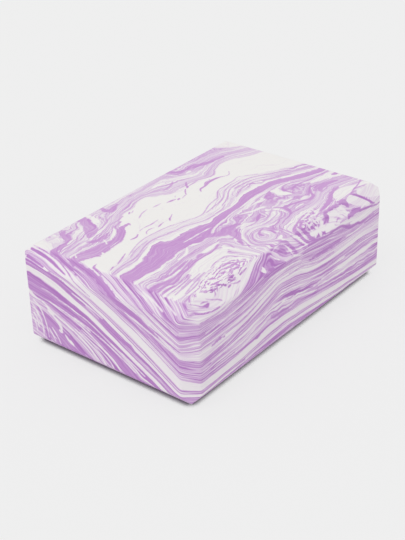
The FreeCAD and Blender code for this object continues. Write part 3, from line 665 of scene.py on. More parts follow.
lilacLines = {
    "top": [
        [(-106, -4.5, 1.25), (-98, -3, 1.15), (-90, -2.3, 1.15), (-83, -2.5, 1.15), (-76, -1, 1.15),
         (-70, 1.5, 1.15), (-64, 3.5, 1.25), (-57, 4.6, 1.35), (-50, 4, 1.25), (-42, 2.4, 1.15),
         (-35, 1, 1.15), (-28, 0, 1.15), (-20, -3, 1.25), (-12, -6, 1.25), (-2, -6.4, 1.15)],
        [(-106, -6, 0.85), (-94, -5, 1.05), (-84, -5, 1.05), (-78, -3.5, 0.95), (-71, -0.5, 0.85),
         (-65, 1.2, 0.75)],
        [(-82, 1, 0.75), (-74, 4, 1.05), (-67, 5.8, 0.95), (-58, 7, 0.85)],
        [(-80, 4, 0.75), (-72, 7, 0.95), (-64, 9.4, 0.95), (-55, 10.8, 1.05), (-46, 10, 1.05),
         (-36, 9, 0.95), (-28, 6.6, 0.95), (-20, 4, 0.95), (-13, 1.8, 0.95), (-6, 1.2, 0.95),
         (0, 3.2, 0.95), (7, 6, 1.05), (14, 7.6, 1.05), (20, 8.2, 1.05), (25, 12, 1.05),
         (31, 15.5, 1.05), (40, 16.2, 0.95), (50, 16.6, 0.95), (57, 17.6, 0.95), (62, 14.5, 0.85),
         (70, 9, 0.75)],
        [(-2, 0.5, 0.85), (8, 2, 1.05), (18, 3.6, 1.05), (26, 7, 0.95), (33, 11.5, 0.95),
         (42, 13.4, 0.85), (54, 13.4, 0.75)],
        [(13, -1.5, 0.85), (20, 0.6, 1.25), (27, 4, 1.25), (33, 8, 1.25), (40, 10.4, 1.15),
         (52, 10.6, 1.25), (62, 9, 1.15), (72, 4, 1.15), (82, -2, 1.05), (92, -6.5, 0.85)],
        [(30, -1.4, 0.85), (38, 2, 1.35), (45, 4, 1.45), (55, 3.4, 1.55), (62, 0.2, 1.35),
         (72, -5, 1.15), (84, -11, 0.95)],
        [(0, -5.8, 1.05), (8, -5.2, 1.15), (15, -2.4, 0.95)],
        [(40, 7.8, 1.15), (50, 7.4, 1.45), (60, 5.6, 1.25), (70, 0.5, 0.95)],
        [(-106, -49.7, 0.85), (-95, -49, 1.15), (-85, -48, 1.05), (-77, -46, 0.85)],
        [(-102, -53.3, 0.85), (-90, -51.6, 1.15), (-80, -50.2, 0.95), (-72, -49, 0.75)],
        [(-97, -57.3, 0.85), (-86, -54.3, 1.25), (-76, -51.8, 1.05), (-69, -50.6, 0.85)],
        [(-106, -59.4, 0.95), (-95, -58.2, 1.15), (-85, -56.4, 1.15), (-78, -53.8, 0.85)],
        [(-32, -35, 0.75), (-30.6, -41, 1.15), (-32, -46, 0.85)],
        [(-13, -43, 0.95), (-18, -48, 1.15), (-20.5, -55, 1.15), (-18, -61, 1.05)],
        [(-9, -44, 0.95), (-14.5, -48.5, 1.15), (-17, -54, 1.15), (-15, -60, 1.05)],
        [(-106, 40.5, 0.95), (-95, 40, 1.25), (-87, 41.5, 0.95)],
        [(-106, 44, 0.95), (-96, 43.5, 1.25), (-86, 45.5, 1.05), (-81, 49, 0.85)],
        [(-66, 44, 0.95), (-58, 46, 1.15), (-50, 49.5, 1.15), (-42, 51.5, 0.85)],
        [(-55, 43, 0.85), (-47, 43, 1.15), (-40, 44.5, 0.85)],
        [(4, -38.5, 0.6), (12, -39.5, 1.2), (22, -36.5, 1.2), (30, -32.5, 0.7)],
        [(6, -42.5, 0.6), (15, -42.7, 1.1), (24, -40.5, 0.8)],
        [(3.5, -49, 0.6), (5.5, -55, 1.2), (5, -60, 1.2), (4, -65, 1)],
        [(64, -1.5, 0.6), (76, -5.5, 1.2), (92, -11, 1.2), (106, -16.5, 1)],
        [(8, -45.5, 0.6), (16, -46, 1.2), (24, -44.5, 1.2), (29, -41, 0.7)],
        [(20, -30, 0.6), (24, -33.5, 1.2), (28, -37, 1.2), (29.5, -41.5, 0.6)],
        [(24, 37.6, 0.7), (30, 38, 1.1), (36, 38.5, 0.7)],
        [(5, 28.6, 0.5), (8, 29.4, 0.9), (12, 30.3, 0.6)],
        [(4.2, 34.2, 0.9), (6, 35.3, 0.6)],
        [(-17.5, 36.3, 0.7), (-14, 36, 1.4), (-9.5, 35.8, 0.7)],
        [(-36.5, 33.2, 0.5), (-33.5, 34.6, 1), (-30.5, 36, 0.9), (-27, 37, 1), (-22, 37.8, 0.5)],
        [(-51, 13.5, 0.5), (-48.5, 15.8, 0.8), (-45, 16.5, 1), (-41, 15.6, 0.6)],
        [(-33, 42.8, 0.6), (-31, 43.6, 1), (-29.5, 44.4, 0.5)],
        [(7, 47.8, 0.8), (13, 48.1, 1.8), (18.5, 49.4, 1.8), (23, 52, 0.8)],
        [(-90, -64.6, 0.8), (-87.5, -65.3, 1.8), (-85.5, -65, 0.8)],
    ],
    "front": [
        [(-105, 63.5, 0.95), (-95, 62.6, 1.05), (-84, 62.6, 0.95), (-72, 64, 0.75)],
        [(-105, 48.3, 0.95), (-90, 48.6, 1.15), (-70, 49.2, 1.05), (-55, 51, 0.85)],
        [(-80, 44.2, 0.85), (-65, 44.8, 1.15), (-52, 47, 1.05), (-42, 50, 0.85)],
        [(-10, 54.5, 0.85), (5, 53.3, 1.15), (15, 50.4, 1.15), (28, 47.6, 1.05), (45, 47, 0.95)],
        [(-105, 12, 0.95), (-85, 13.6, 1.05), (-60, 13.4, 0.95)],
    ],
    "bevel": [
        [(-83.4, 5.6, 0.5), (-81.6, 4.4, 0.9), (-81.2, 1, 0.7)],
        [(-79.4, 4, 0.6), (-78, 2.6, 1.1), (-77.2, 0.2, 0.7)],
        [(-91, 4, 0.5), (-87, 6.6, 0.7), (-83, 8.4, 0.9), (-80.5, 10.4, 0.9)],
        [(50, 10.5, 0.6), (53.5, 9, 1), (56, 10, 0.6)],
        [(53, 12.6, 0.8), (57, 12.2, 1.2), (61, 12.8, 0.8)],
        [(58, 7.2, 0.5), (60, 9, 0.9), (61, 11, 0.6)],
        [(-97, 4.8, 0.5), (-94, 5, 0.9), (-91, 6, 0.6)],
        [(-66, 5, 0.7), (-62, 6.4, 1), (-58, 6.6, 0.7)],
    ],
}

whiteLines = {
    "end": [
        [(-15, 10, 1.65), (-11, 15, 1.45), (-4, 19.5, 1.35), (6, 24, 1.25), (18, 29.5, 0.95)],
        [(-9, 10, 1.45), (-6, 14, 1.35), (1, 19, 1.25), (10, 23, 1.25), (20, 27, 0.95)],
        [(-2, 10, 1.65), (2, 15, 1.45), (9, 20, 1.35), (17, 24, 1.25), (24, 28, 0.95)],
        [(5, 10, 1.35), (10, 16, 1.45), (16, 20, 1.25), (22, 23, 0.95)],
        [(-28, 14, 0.95), (-20, 19, 1.25), (-10, 24.5, 1.25), (0, 29, 1.15), (12, 33.5, 1.15),
         (24, 37, 0.95)],
        [(-36, 14.5, 1.05), (-27, 19.5, 1.25), (-18, 24, 1.25), (-8, 28.5, 0.95)],
        [(-44, 14, 1.05), (-36, 18.5, 1.25), (-26, 24, 1.05)],
        [(10, 31, 0.95), (22, 35.5, 1.15), (34, 39, 1.15), (46, 41.5, 0.95)],
        [(-2, 45.5, 0.95), (6, 49, 1.25), (16, 53, 1.25), (24, 55.5, 0.95)],
        [(62, 38, 1.25), (57, 34, 1.45), (53.5, 28, 1.25), (51, 20, 1.05), (50, 12, 0.95)],
        [(65, 35, 1.05), (61, 31, 1.25), (57, 25, 1.05), (55, 17, 1.25), (55, 11, 1.05)],
        [(65, 25, 1.25), (62, 20, 1.45), (61, 13, 1.05)],
        [(46, 21, 0.95), (42, 16, 1.25), (39, 11, 1.05)],
        [(49, 19.5, 0.95), (46, 15, 1.15), (44, 11, 0.95)],
        [(-60, 46, 1.05), (-50, 51.5, 1.25), (-42, 56, 0.95)],
        [(-64, 56, 1.05), (-54, 61, 1.25), (-46, 65, 0.95)],
        [(-66, 46.8, 0.9), (-56, 51, 1.3), (-46, 56, 1.2), (-36, 60.6, 0.9)],
        [(-66, 50, 0.8), (-56, 55, 1.2), (-46, 60, 1.2), (-38, 64.5, 0.8)],
        [(-60, 42, 0.8), (-50, 46.8, 1.2), (-40, 51, 1.2), (-30, 55.3, 0.8)],
        [(-45, 48.6, 0.8), (-33, 53.6, 1.2), (-22, 57.5, 0.8)],
        [(-32, 60, 0.7), (-22, 64, 1.1), (-17, 66, 0.8)],
        [(38, 46.8, 0.5), (46, 49, 0.8), (53, 50, 0.5)],
        [(22, 42, 0.5), (30, 44.6, 0.8), (38, 46, 0.5)],
    ],
    "endBevel": [
        [(-62, 9, 1.05), (-54, 5.5, 1.25), (-46, 2.2, 0.95)],
        [(-52, 10, 1.05), (-42, 6, 1.35), (-32, 3.3, 0.95)],
    ],
    "front": [
        [(-100, 54, 0.95), (-80, 54.8, 1.25), (-62, 56.4, 1.15), (-48, 59, 0.95)],
        [(-34, 60.6, 0.95), (-22, 61, 1.25), (-8, 60.5, 1.15), (4, 58.6, 0.95)],
        [(-95, 30.4, 0.95), (-75, 32, 1.15), (-58, 34, 1.15), (-44, 37.4, 0.95)],
        [(-70, 24.4, 0.95), (-58, 25.6, 1.35), (-46, 28, 1.15), (-36, 30.6, 0.95)],
        [(-8, 33, 0.95), (4, 31, 1.25), (14, 28.4, 1.25), (24, 26, 0.95)],
        [(26, 28.5, 0.95), (40, 27, 1.25), (56, 26, 1.15), (74, 25.4, 0.95)],
        [(10, 46.8, 0.95), (22, 45.6, 1.35), (36, 44, 1.15), (52, 44.8, 1.45), (70, 44.6, 1.45),
         (88, 45, 1.15)],
        [(60, 52.6, 0.95), (72, 51.4, 1.25), (84, 52.6, 0.95)],
    ],
}

violetLines = {
    "top": [
        [(-93, 2, 0.8), (-86, 4.5, 1.3), (-80, 7, 0.8)],
        [(-102, 0, 0.7), (-98, 1.5, 1)],
        [(22, 24.5, 0.8), (25, 27.5, 1.6), (31, 28, 1.8), (38, 29.8, 2.6), (45, 29.5, 2.2), (50, 28, 1),
         (56, 25.5, 0.9), (61, 29, 0.6)],
        [(31, 28.5, 0.8), (36, 31.5, 1.1), (42, 32, 0.7)],
        [(8, -35.5, 1.2), (12, -33.5, 2.8), (18, -31, 1.2)],
        [(-7, -51.5, 1.6), (-7, -48.5, 2.2), (-4, -46.3, 1.5), (2, -45.3, 0.8)],
        [(31.5, -33, 1), (34, -37, 2), (35, -41, 3), (33, -45.5, 2.2), (30, -48.5, 1)],
        [(35, -39, 3), (42, -40, 2.2), (50, -43, 2.2), (57, -46, 2.4), (63, -45, 2.2), (66, -41, 2),
         (71, -36.5, 1.6), (76, -34, 1)],
        [(58.5, -30, 1), (58.3, -25, 1.5), (59, -21.5, 1.7), (62, -19.3, 1.3), (67, -19, 0.8)],
        [(63, -27, 1.4), (68, -25.5, 1.8), (76, -26, 1.5), (84, -28, 1.3), (92, -29, 1.1),
         (104, -30.5, 1)],
        [(100.5, -36.5, 1.4), (103, -37.5, 3.2), (106, -37.5, 2)],
        [(80, -65.5, 1), (88, -63, 1.1), (97, -61, 1), (106, -58, 1)],
        [(-96, -33.5, 1.2), (-88, -35, 1.6), (-78, -34.5, 1.6), (-70, -33, 2), (-63, -32, 1)],
        [(-106, -42, 1.2), (-96, -42, 1.2), (-91, -43.5, 2), (-84, -42, 1.3), (-76, -40, 1),
         (-68, -38.8, 1), (-62, -37.2, 1.2), (-55, -37.2, 1), (-46, -37.6, 1), (-40, -36.5, 1.2),
         (-35, -35, 2)],
        [(-57, -34.5, 1.2), (-53, -33.8, 2.2), (-50, -34.5, 1)],
        [(-106, -46.3, 1), (-98, -45.5, 2), (-92, -46.5, 1.2), (-84, -45, 1), (-77, -43, 0.7)],
        [(-100, -49.5, 0.7), (-90, -48.5, 0.9), (-82, -47, 0.8), (-77, -45, 0.6)],
        [(-57, -57.5, 0.8), (-52, -59, 1.3), (-46, -59.5, 1.4), (-43, -57, 0.8)],
        [(-95, -61, 0.7), (-87, -60, 1)],
        [(-103, -65.5, 1.4), (-99, -62, 1), (-95, -60.5, 0.6)],
        [(-62, -50, 0.5), (-56, -48.5, 0.8), (-49, -48, 0.8), (-44, -49.5, 0.7), (-40.5, -54, 0.6),
         (-38, -60, 0.7), (-37, -65, 0.6)],
        [(-41.5, -45.5, 0.4), (-38.5, -51.5, 0.8), (-35.3, -58.5, 0.8), (-32.8, -65, 0.9)],
        [(-50, 20.5, 0.5), (-45, 21, 0.8), (-38, 20.4, 1.3), (-30, 21, 0.4)],
        [(-7.5, -51, 1.4), (-7, -48.5, 1.8), (-4, -46.6, 1.2)],
        [(1, -49, 1), (2, -52, 2), (0.5, -56, 1.6)],
        [(9, -65, 1.6), (14, -62.3, 2), (20, -60.3, 1.4), (28, -58, 1), (38, -56.6, 0.6)],
        [(16, -65.3, 1.4), (22, -62.5, 1.4), (28, -60.8, 0.8)],
        [(46, -62.3, 0.8), (52, -62, 1.2), (60, -62, 0.6)],
        [(-106, 11.5, 1.8), (-103, 12.6, 1.2), (-101, 12.8, 0.5)],
        [(-106, -37, 4), (-97, -38, 3), (-88, -39.5, 1.8), (-80, -38.5, 1.6), (-72, -36.5, 1.6),
         (-66, -35, 1.6), (-61, -33.5, 1)],
        [(-75.5, -58, 0.8), (-72.8, -59.4, 2.2), (-71, -61.4, 1)],
        [(-57, -55.6, 0.8), (-53, -55, 2), (-49, -55.6, 1)],
        [(-59, -57.4, 0.8), (-55, -59, 1.6), (-50, -59.8, 0.8)],
        [(-57, -61.6, 0.8), (-52.5, -63.6, 2.4), (-49, -63, 1.4)],
        [(-46, -60.6, 0.8), (-43.6, -61.6, 1.2), (-42, -63.6, 0.8)],
        [(6.5, -51, 0.6), (8, -55, 1.1), (7.5, -60, 1.2), (7, -65, 1)],
        [(12, 30.3, 0.6), (15, 33.5, 1.1), (18.5, 36.3, 0.7)],
        [(20.5, 36.5, 0.8), (22.5, 37.5, 2), (23.5, 39.5, 1.6), (25.5, 41.3, 1.6), (28.5, 43.5, 0.6)],
        [(-7, 33.3, 0.6), (-3.5, 32.6, 1.7), (0, 31.9, 1.2), (1.6, 31.4, 0.7)],
        [(1.8, 29.6, 1), (3.4, 30, 2), (5, 30.4, 0.7)],
        [(-63.5, 17, 0.7), (-60.5, 16.4, 1.4), (-58, 16.3, 1.4), (-54.5, 18.2, 0.5)],
        [(-38.5, 13.8, 0.6), (-35.5, 14.6, 1.1), (-31, 15.3, 0.5)],
        [(-26.8, 13, 0.6), (-24, 15.7, 1.2), (-22, 16.4, 0.9), (-18, 18.6, 0.4)],
        [(-35.8, 43.2, 0.6), (-34, 44, 1.5), (-32.8, 45, 0.6)],
        [(-50, 33.4, 2.4), (-46.5, 33.6, 2.2), (-47.6, 31, 0.8)],
        [(-93, 20, 2), (-92.2, 17.8, 0.8)],
    ],
    "bevel": [
        [(-105, 8, 0.9), (-100, 10.5, 1.1), (-92, 12.5, 1.1), (-85, 13, 1.2)],
        [(81, 0, 1.6), (86, 4, 2), (90, 8, 2), (94, 12.5, 1.8)],
        [(45, 4, 1.4), (41, 5.6, 1.6), (37.5, 7, 0.6)],
        [(-104, 1.5, 0.6), (-100, 4.5, 0.8), (-97, 6.8, 1), (-93.5, 7.6, 1.8), (-91.5, 6.8, 0.6)],
        [(-39.2, 7, 0.5), (-38.8, 10, 1.2), (-37, 12.6, 1.4), (-34.5, 13, 1)],
        [(-64.6, 3.8, 0.8), (-60, 3.2, 1)],
        [(-69.4, 5.9, 1.2), (-67, 5.5, 0.9)],
        [(-55, 3.4, 1.2), (-47, 2, 0.9)],
        [(3.6, 0, 0.8), (5.4, 4, 1.2), (7.6, 8.5, 1.1), (9.6, 13, 0.8)],
        [(-96.5, 6.8, 0.6), (-93.4, 8.5, 1.3), (-90.6, 7.2, 0.7)],
    ],
    "front": [
        [(13, 65.8, 2), (25, 65, 2), (35, 63.5, 1.6), (45, 63.8, 1.8), (53, 63.5, 1.8), (58, 61.5, 2),
         (62, 59, 2.2), (66, 57.3, 2), (75, 57, 2), (80, 55, 1.8), (90, 55, 1.4), (98, 55, 1)],
        [(78, 65.5, 1.8), (88, 64, 1.8), (96, 62.3, 1.5), (102, 61, 1)],
        [(93, 66, 1.8), (98, 63.5, 1)],
        [(-38.5, 65.7, 1.2), (-36, 64.4, 1.2), (-33, 64.6, 1)],
        [(-26, 65.2, 0.8), (-20, 65, 1.4), (-14, 65.2, 0.8)],
    ],
    "endBevel": [
        [(66, 0.8, 0.6), (55, 1.6, 0.9), (45, 3.4, 0.9), (38, 5.3, 0.9), (30, 8.8, 0.8), (23, 12.6, 0.8)],
        [(11, 0, 1.6), (7, 1.5, 1), (3, 3.3, 0.6)],
        [(66, 3.4, 1.8), (58, 4.2, 2.4), (50, 5.4, 2.4), (43, 7.2, 2.2), (37, 9.2, 1.6), (30, 11.4, 0.8)],
        [(66, 9, 2.2), (58, 10.4, 2), (50, 12, 1.4)],
    ],
    "end": [
        [(22, 65.3, 0.8), (15, 61.8, 0.8), (8, 58.6, 0.6)],
        [(-66, 44.5, 0.8), (-58, 47.5, 1.2), (-50, 51, 1.2), (-42, 54.3, 0.8)],
        [(-66, 54, 0.8), (-56, 58.5, 1.1), (-47, 63, 0.8)],
        [(-66, 58.5, 0.8), (-58, 62, 1.1), (-52, 65, 0.7)],
        [(-52, 40, 0.6), (-40, 46.4, 1), (-28, 52.5, 0.9), (-16, 57.6, 0.6)],
    ],
}

strokes = {"haze": hazes, "violetPatch": violetPatches, "whitePatch": whitePatches, "crumb": crumbs,
           "knot": knots, "lilacLine": lilacLines, "whiteLine": whiteLines, "violetLine": violetLines}
marking = {
    "strokeStep": 1.0,  # mm, between the points of a stroke's curve
    "farOff": 6.0,  # mm, as far from a stroke as matters
    "lidFrom": 0.96,  # mm under the top face, where its look starts
    "lidFull": 0.16,  # and where it is full
    "tiny": 1e-6,  # keeps a division from failing
}


def strokeField(marks, points):  # mm from each point to the edge of the nearest stroke, under 0 inside one
    nearest = np.full(len(points), marking["farOff"])
    for face, spots in [(face, spots) for face, lines in marks.items() for spots in lines]:
        path = [(*onFace(face, a, b), wide / 2) for a, b, wide in spots]
        fine = curveThrough(path, marking["strokeStep"])
        reach = marking["farOff"] + fine[:, 3].max()
        inside = (points > fine[:, :3].min(0) - reach) & (points < fine[:, :3].max(0) + reach)
        near = np.flatnonzero(inside.all(1))
        here = points[near]
        best = nearest[near]
        for start, stop in zip(fine[:-1], fine[1:]):
            run = stop[:3] - start[:3]
            share = np.clip((here - start[:3]) @ run / max(run @ run, marking["tiny"]), 0, 1)
            across = np.linalg.norm(here - start[:3] - share[:, None] * run, axis=1)
            best = np.minimum(best, across - start[3] - share * (stop[3] - start[3]))
        nearest[near] = best
    return nearest


def markStrata(sheet, strata):
    mesh = sheet.data
    points = np.empty(len(mesh.vertices) * 3, np.float32)
    mesh.vertices.foreach_get("co", points)
    points = points.reshape(-1, 3).astype(float) / mm
    half = np.array(brick["size"]) / mm / 2
    leg = brick["bevel"] / mm
    fromMiddle = points - (0, 0, half[2])
    away = np.maximum(np.abs(fromMiddle) - half + leg, 0)
    past = away * np.sign(fromMiddle)  # mm past the start of each bevel
    outward = past / (np.linalg.norm(past, axis=1) + marking["tiny"])[:, None]
    underTop = leg - past[:, 2]
    ends, sides = past[:, 0] ** 2, past[:, 1] ** 2
    layer, rise = strata(points)
    across = rise - (rise * outward).sum(1)[:, None] * outward
    fields = {
        "layer": layer,
        "crowding": np.linalg.norm(across, axis=1),  # levels of the stack in a mm of the surface
        "lid": np.interp(underTop, [marking["lidFull"], marking["lidFrom"]], [1, 0]),  # 1 on the top face
        "tail": ends / (ends + sides + marking["tiny"]),  # 1 on the two ends
    }
    for name, marks in strokes.items():
        fields[name] = strokeField(marks, points)
    for name, values in fields.items():
        mesh.attributes.new(name, "FLOAT", "POINT").data.foreach_set("value", values.astype(np.float32))


# Foam material

foamLook = {
    # from white to violet, in two sets that are lit and shaded copies of one: the top face's lighter and
    # greyer, a painted sheen from the light above, the sides' deeper, painted shade
    "sheenPaintedTopColours": [
        (0.0, "#EFEDEB"), (0.06, "#EFEDEB"), (0.45, "#DDC9E1"), (0.78, "#CC9FD4"), (1.0, "#C591CF")],
    "shadePaintedSideColours": [
        (0.0, "#EDE8EB"), (0.05, "#EDE8EB"), (0.42, "#DABFDF"), (0.75, "#C292CD"), (1.0, "#B177BF")],
    "splitLevel": 47.5,  # the stack's lower and upper halves have a tone curve each
    "lowTones": [
        (-20, 0.5), (-6, 0.45), (0, 0.6), (3, 0.85), (8, 0.85), (9.5, 0.4), (12, 0.55), (13.2, 0.25),
        (15, 0.3), (15.6, 0.75), (16.4, 0.45), (17, 0.9), (18.2, 0.85), (18.6, 0.1), (19.2, 0.85),
        (23.4, 0.85), (24, 0.15), (24.6, 0.95), (26.8, 0.9), (27.4, 0.0), (30.5, 0.0), (31.2, 0.8),
        (34.5, 0.6), (36.5, 0.9), (37.2, 0.05), (39.5, 0.1), (40, 0.8), (41.2, 0.25), (42.2, 0.8),
        (43.4, 0.1), (44, 0.0), (47.5, 0.0)],
    "endTones": [
        (47.5, 0.0), (50.8, 0.05), (51.4, 0.45), (53, 0.5), (54.5, 0.4), (55.2, 0.75), (56.5, 0.7),
        (57.2, 0.3), (58, 0.5), (59, 0.7), (60.5, 0.7), (61, 0.4), (62, 0.7), (63.5, 0.7), (65, 0.6),
        (66, 0.2), (69, 0.15), (70, 0.6), (71, 0.3), (73, 0.3), (76, 0.55), (79, 0.45), (81, 0.8),
        (82.5, 0.6), (84, 0.4), (86, 0.5), (88, 0.7), (91, 0.55), (100, 0.5)],
    "frontTones": [
        (47.5, 0.05), (50.8, 0.05), (51.5, 0.6), (53.5, 0.7), (56, 0.6), (58.5, 0.5), (60, 0.45),
        (61, 0.45), (62, 0.55), (64.5, 0.6), (65.6, 0.75), (66.2, 0.4), (66.8, 0.1), (69.5, 0.1),
        (70.3, 0.4), (71.5, 0.2), (73, 0.3), (75, 0.4), (77, 0.4), (79, 0.5), (81.5, 0.7), (83.5, 0.55),
        (84.5, 0.65), (86.5, 0.6), (89, 0.7), (91.6, 0.62), (92.2, 0.15), (100, 0.2)],
    "topTones": [
        (47.5, 0.0), (54.3, 0.05), (55.2, 0.4), (58, 0.45), (60.5, 0.42), (62, 0.42), (63.5, 0.5),
        (65.8, 0.5), (66.4, 0.0), (73, 0.0), (73.8, 0.17), (75, 0.2), (76, 0.22), (77.6, 0.24),
        (78.1, 0.1), (78.3, 0.0), (78.9, 0.0), (79.1, 0.9), (83.8, 0.9), (84.2, 0.35), (86, 0.47),
        (88, 0.47), (91, 0.45), (94, 0.4), (100, 0.4)],
    "swayWidth": 11.0,  # mm, of the waver in the strata
    "sideSway": 0.6,  # mm to either side
    "topSway": 1.3,
    "streaks": [(90.0, 2.4, 0.5), (60.0, 1.0, 0.9), (45.0, 0.5, 1.0)],  # length, thickness, strength
    "topThinning": 0.4,  # the top face cuts the strata at a slant, and shows finer ones
    "finest": 0.35,  # mm, the thinnest streak
    "fineShare": 0.5,  # of the crowding at which streaks are gone, where they start to go
    "plainGain": 0.35,  # how far streaks show in a clean sheet
    "mixedGain": 4.5,  # and how much more where the two colours are mixed
    "hairLength": 70.0,  # mm, of the thin dark and white lines
    "hairSpacing": 1.2,  # mm
    "hairEdge": 0.035,  # of the noise, to either side of a line's middle
    "hairTone": 0.5,  # how far a line turns violet or white
    "hairShift": (7, 3, 40),  # keeps the white lines off the dark ones
    "hairMixed": 0.2,  # how mixed the colours are where the lines show in full
    "hairLeast": 0.15,  # and how far they show in a clean sheet
    # for each kind of mark: the grain and raggedness of its edge and how far it fades, in mm,
    # then how violet it is and how far streaks show in it
    "marks": {
        "haze": (8.0, 2.0, 1.6, 0.46, 1.5),
        "violetPatch": (5.0, 2.0, 0.5, 0.82, 0.8),
        "whitePatch": (5.0, 1.0, 0.5, 0.05, 0.6),
        "crumb": (5.0, 1.2, 1.0, 0.12, 0.0),
        "knot": (6.0, 2.2, 0.4, 0.05, 0.0),
        "lilacLine": (4.0, 0.35, 0.5, 0.75, 0.4),
        "whiteLine": (4.0, 0.4, 0.5, 0.1, 0.4),
        "violetLine": (4.0, 0.4, 0.5, 0.9, 0.6),
    },
    "mottleSize": 2.6,  # mm, of the violet specks in a crumbled lump
    "mottleTone": 0.85,  # how violet they are
    "mottleEdges": (0.46, 0.6),  # of the noise, from no speck to a full one
    "ringLength": 6.0,  # mm, of the dashes round a knot
    "ringSpacing": 0.9,  # mm
    "ringTone": 1.0,  # how violet they are
    "ringEdges": (0.49, 0.58),  # of the noise, from no dash to a full one
    "noiseMiddle": 0.5,  # of the streaks' and lines' noise
    "cellSize": 0.6,  # mm, drawn coarser than the real cells so that it shows
    "cellDepth": 0.03 * mm,
    "roughness": 0.68,
}


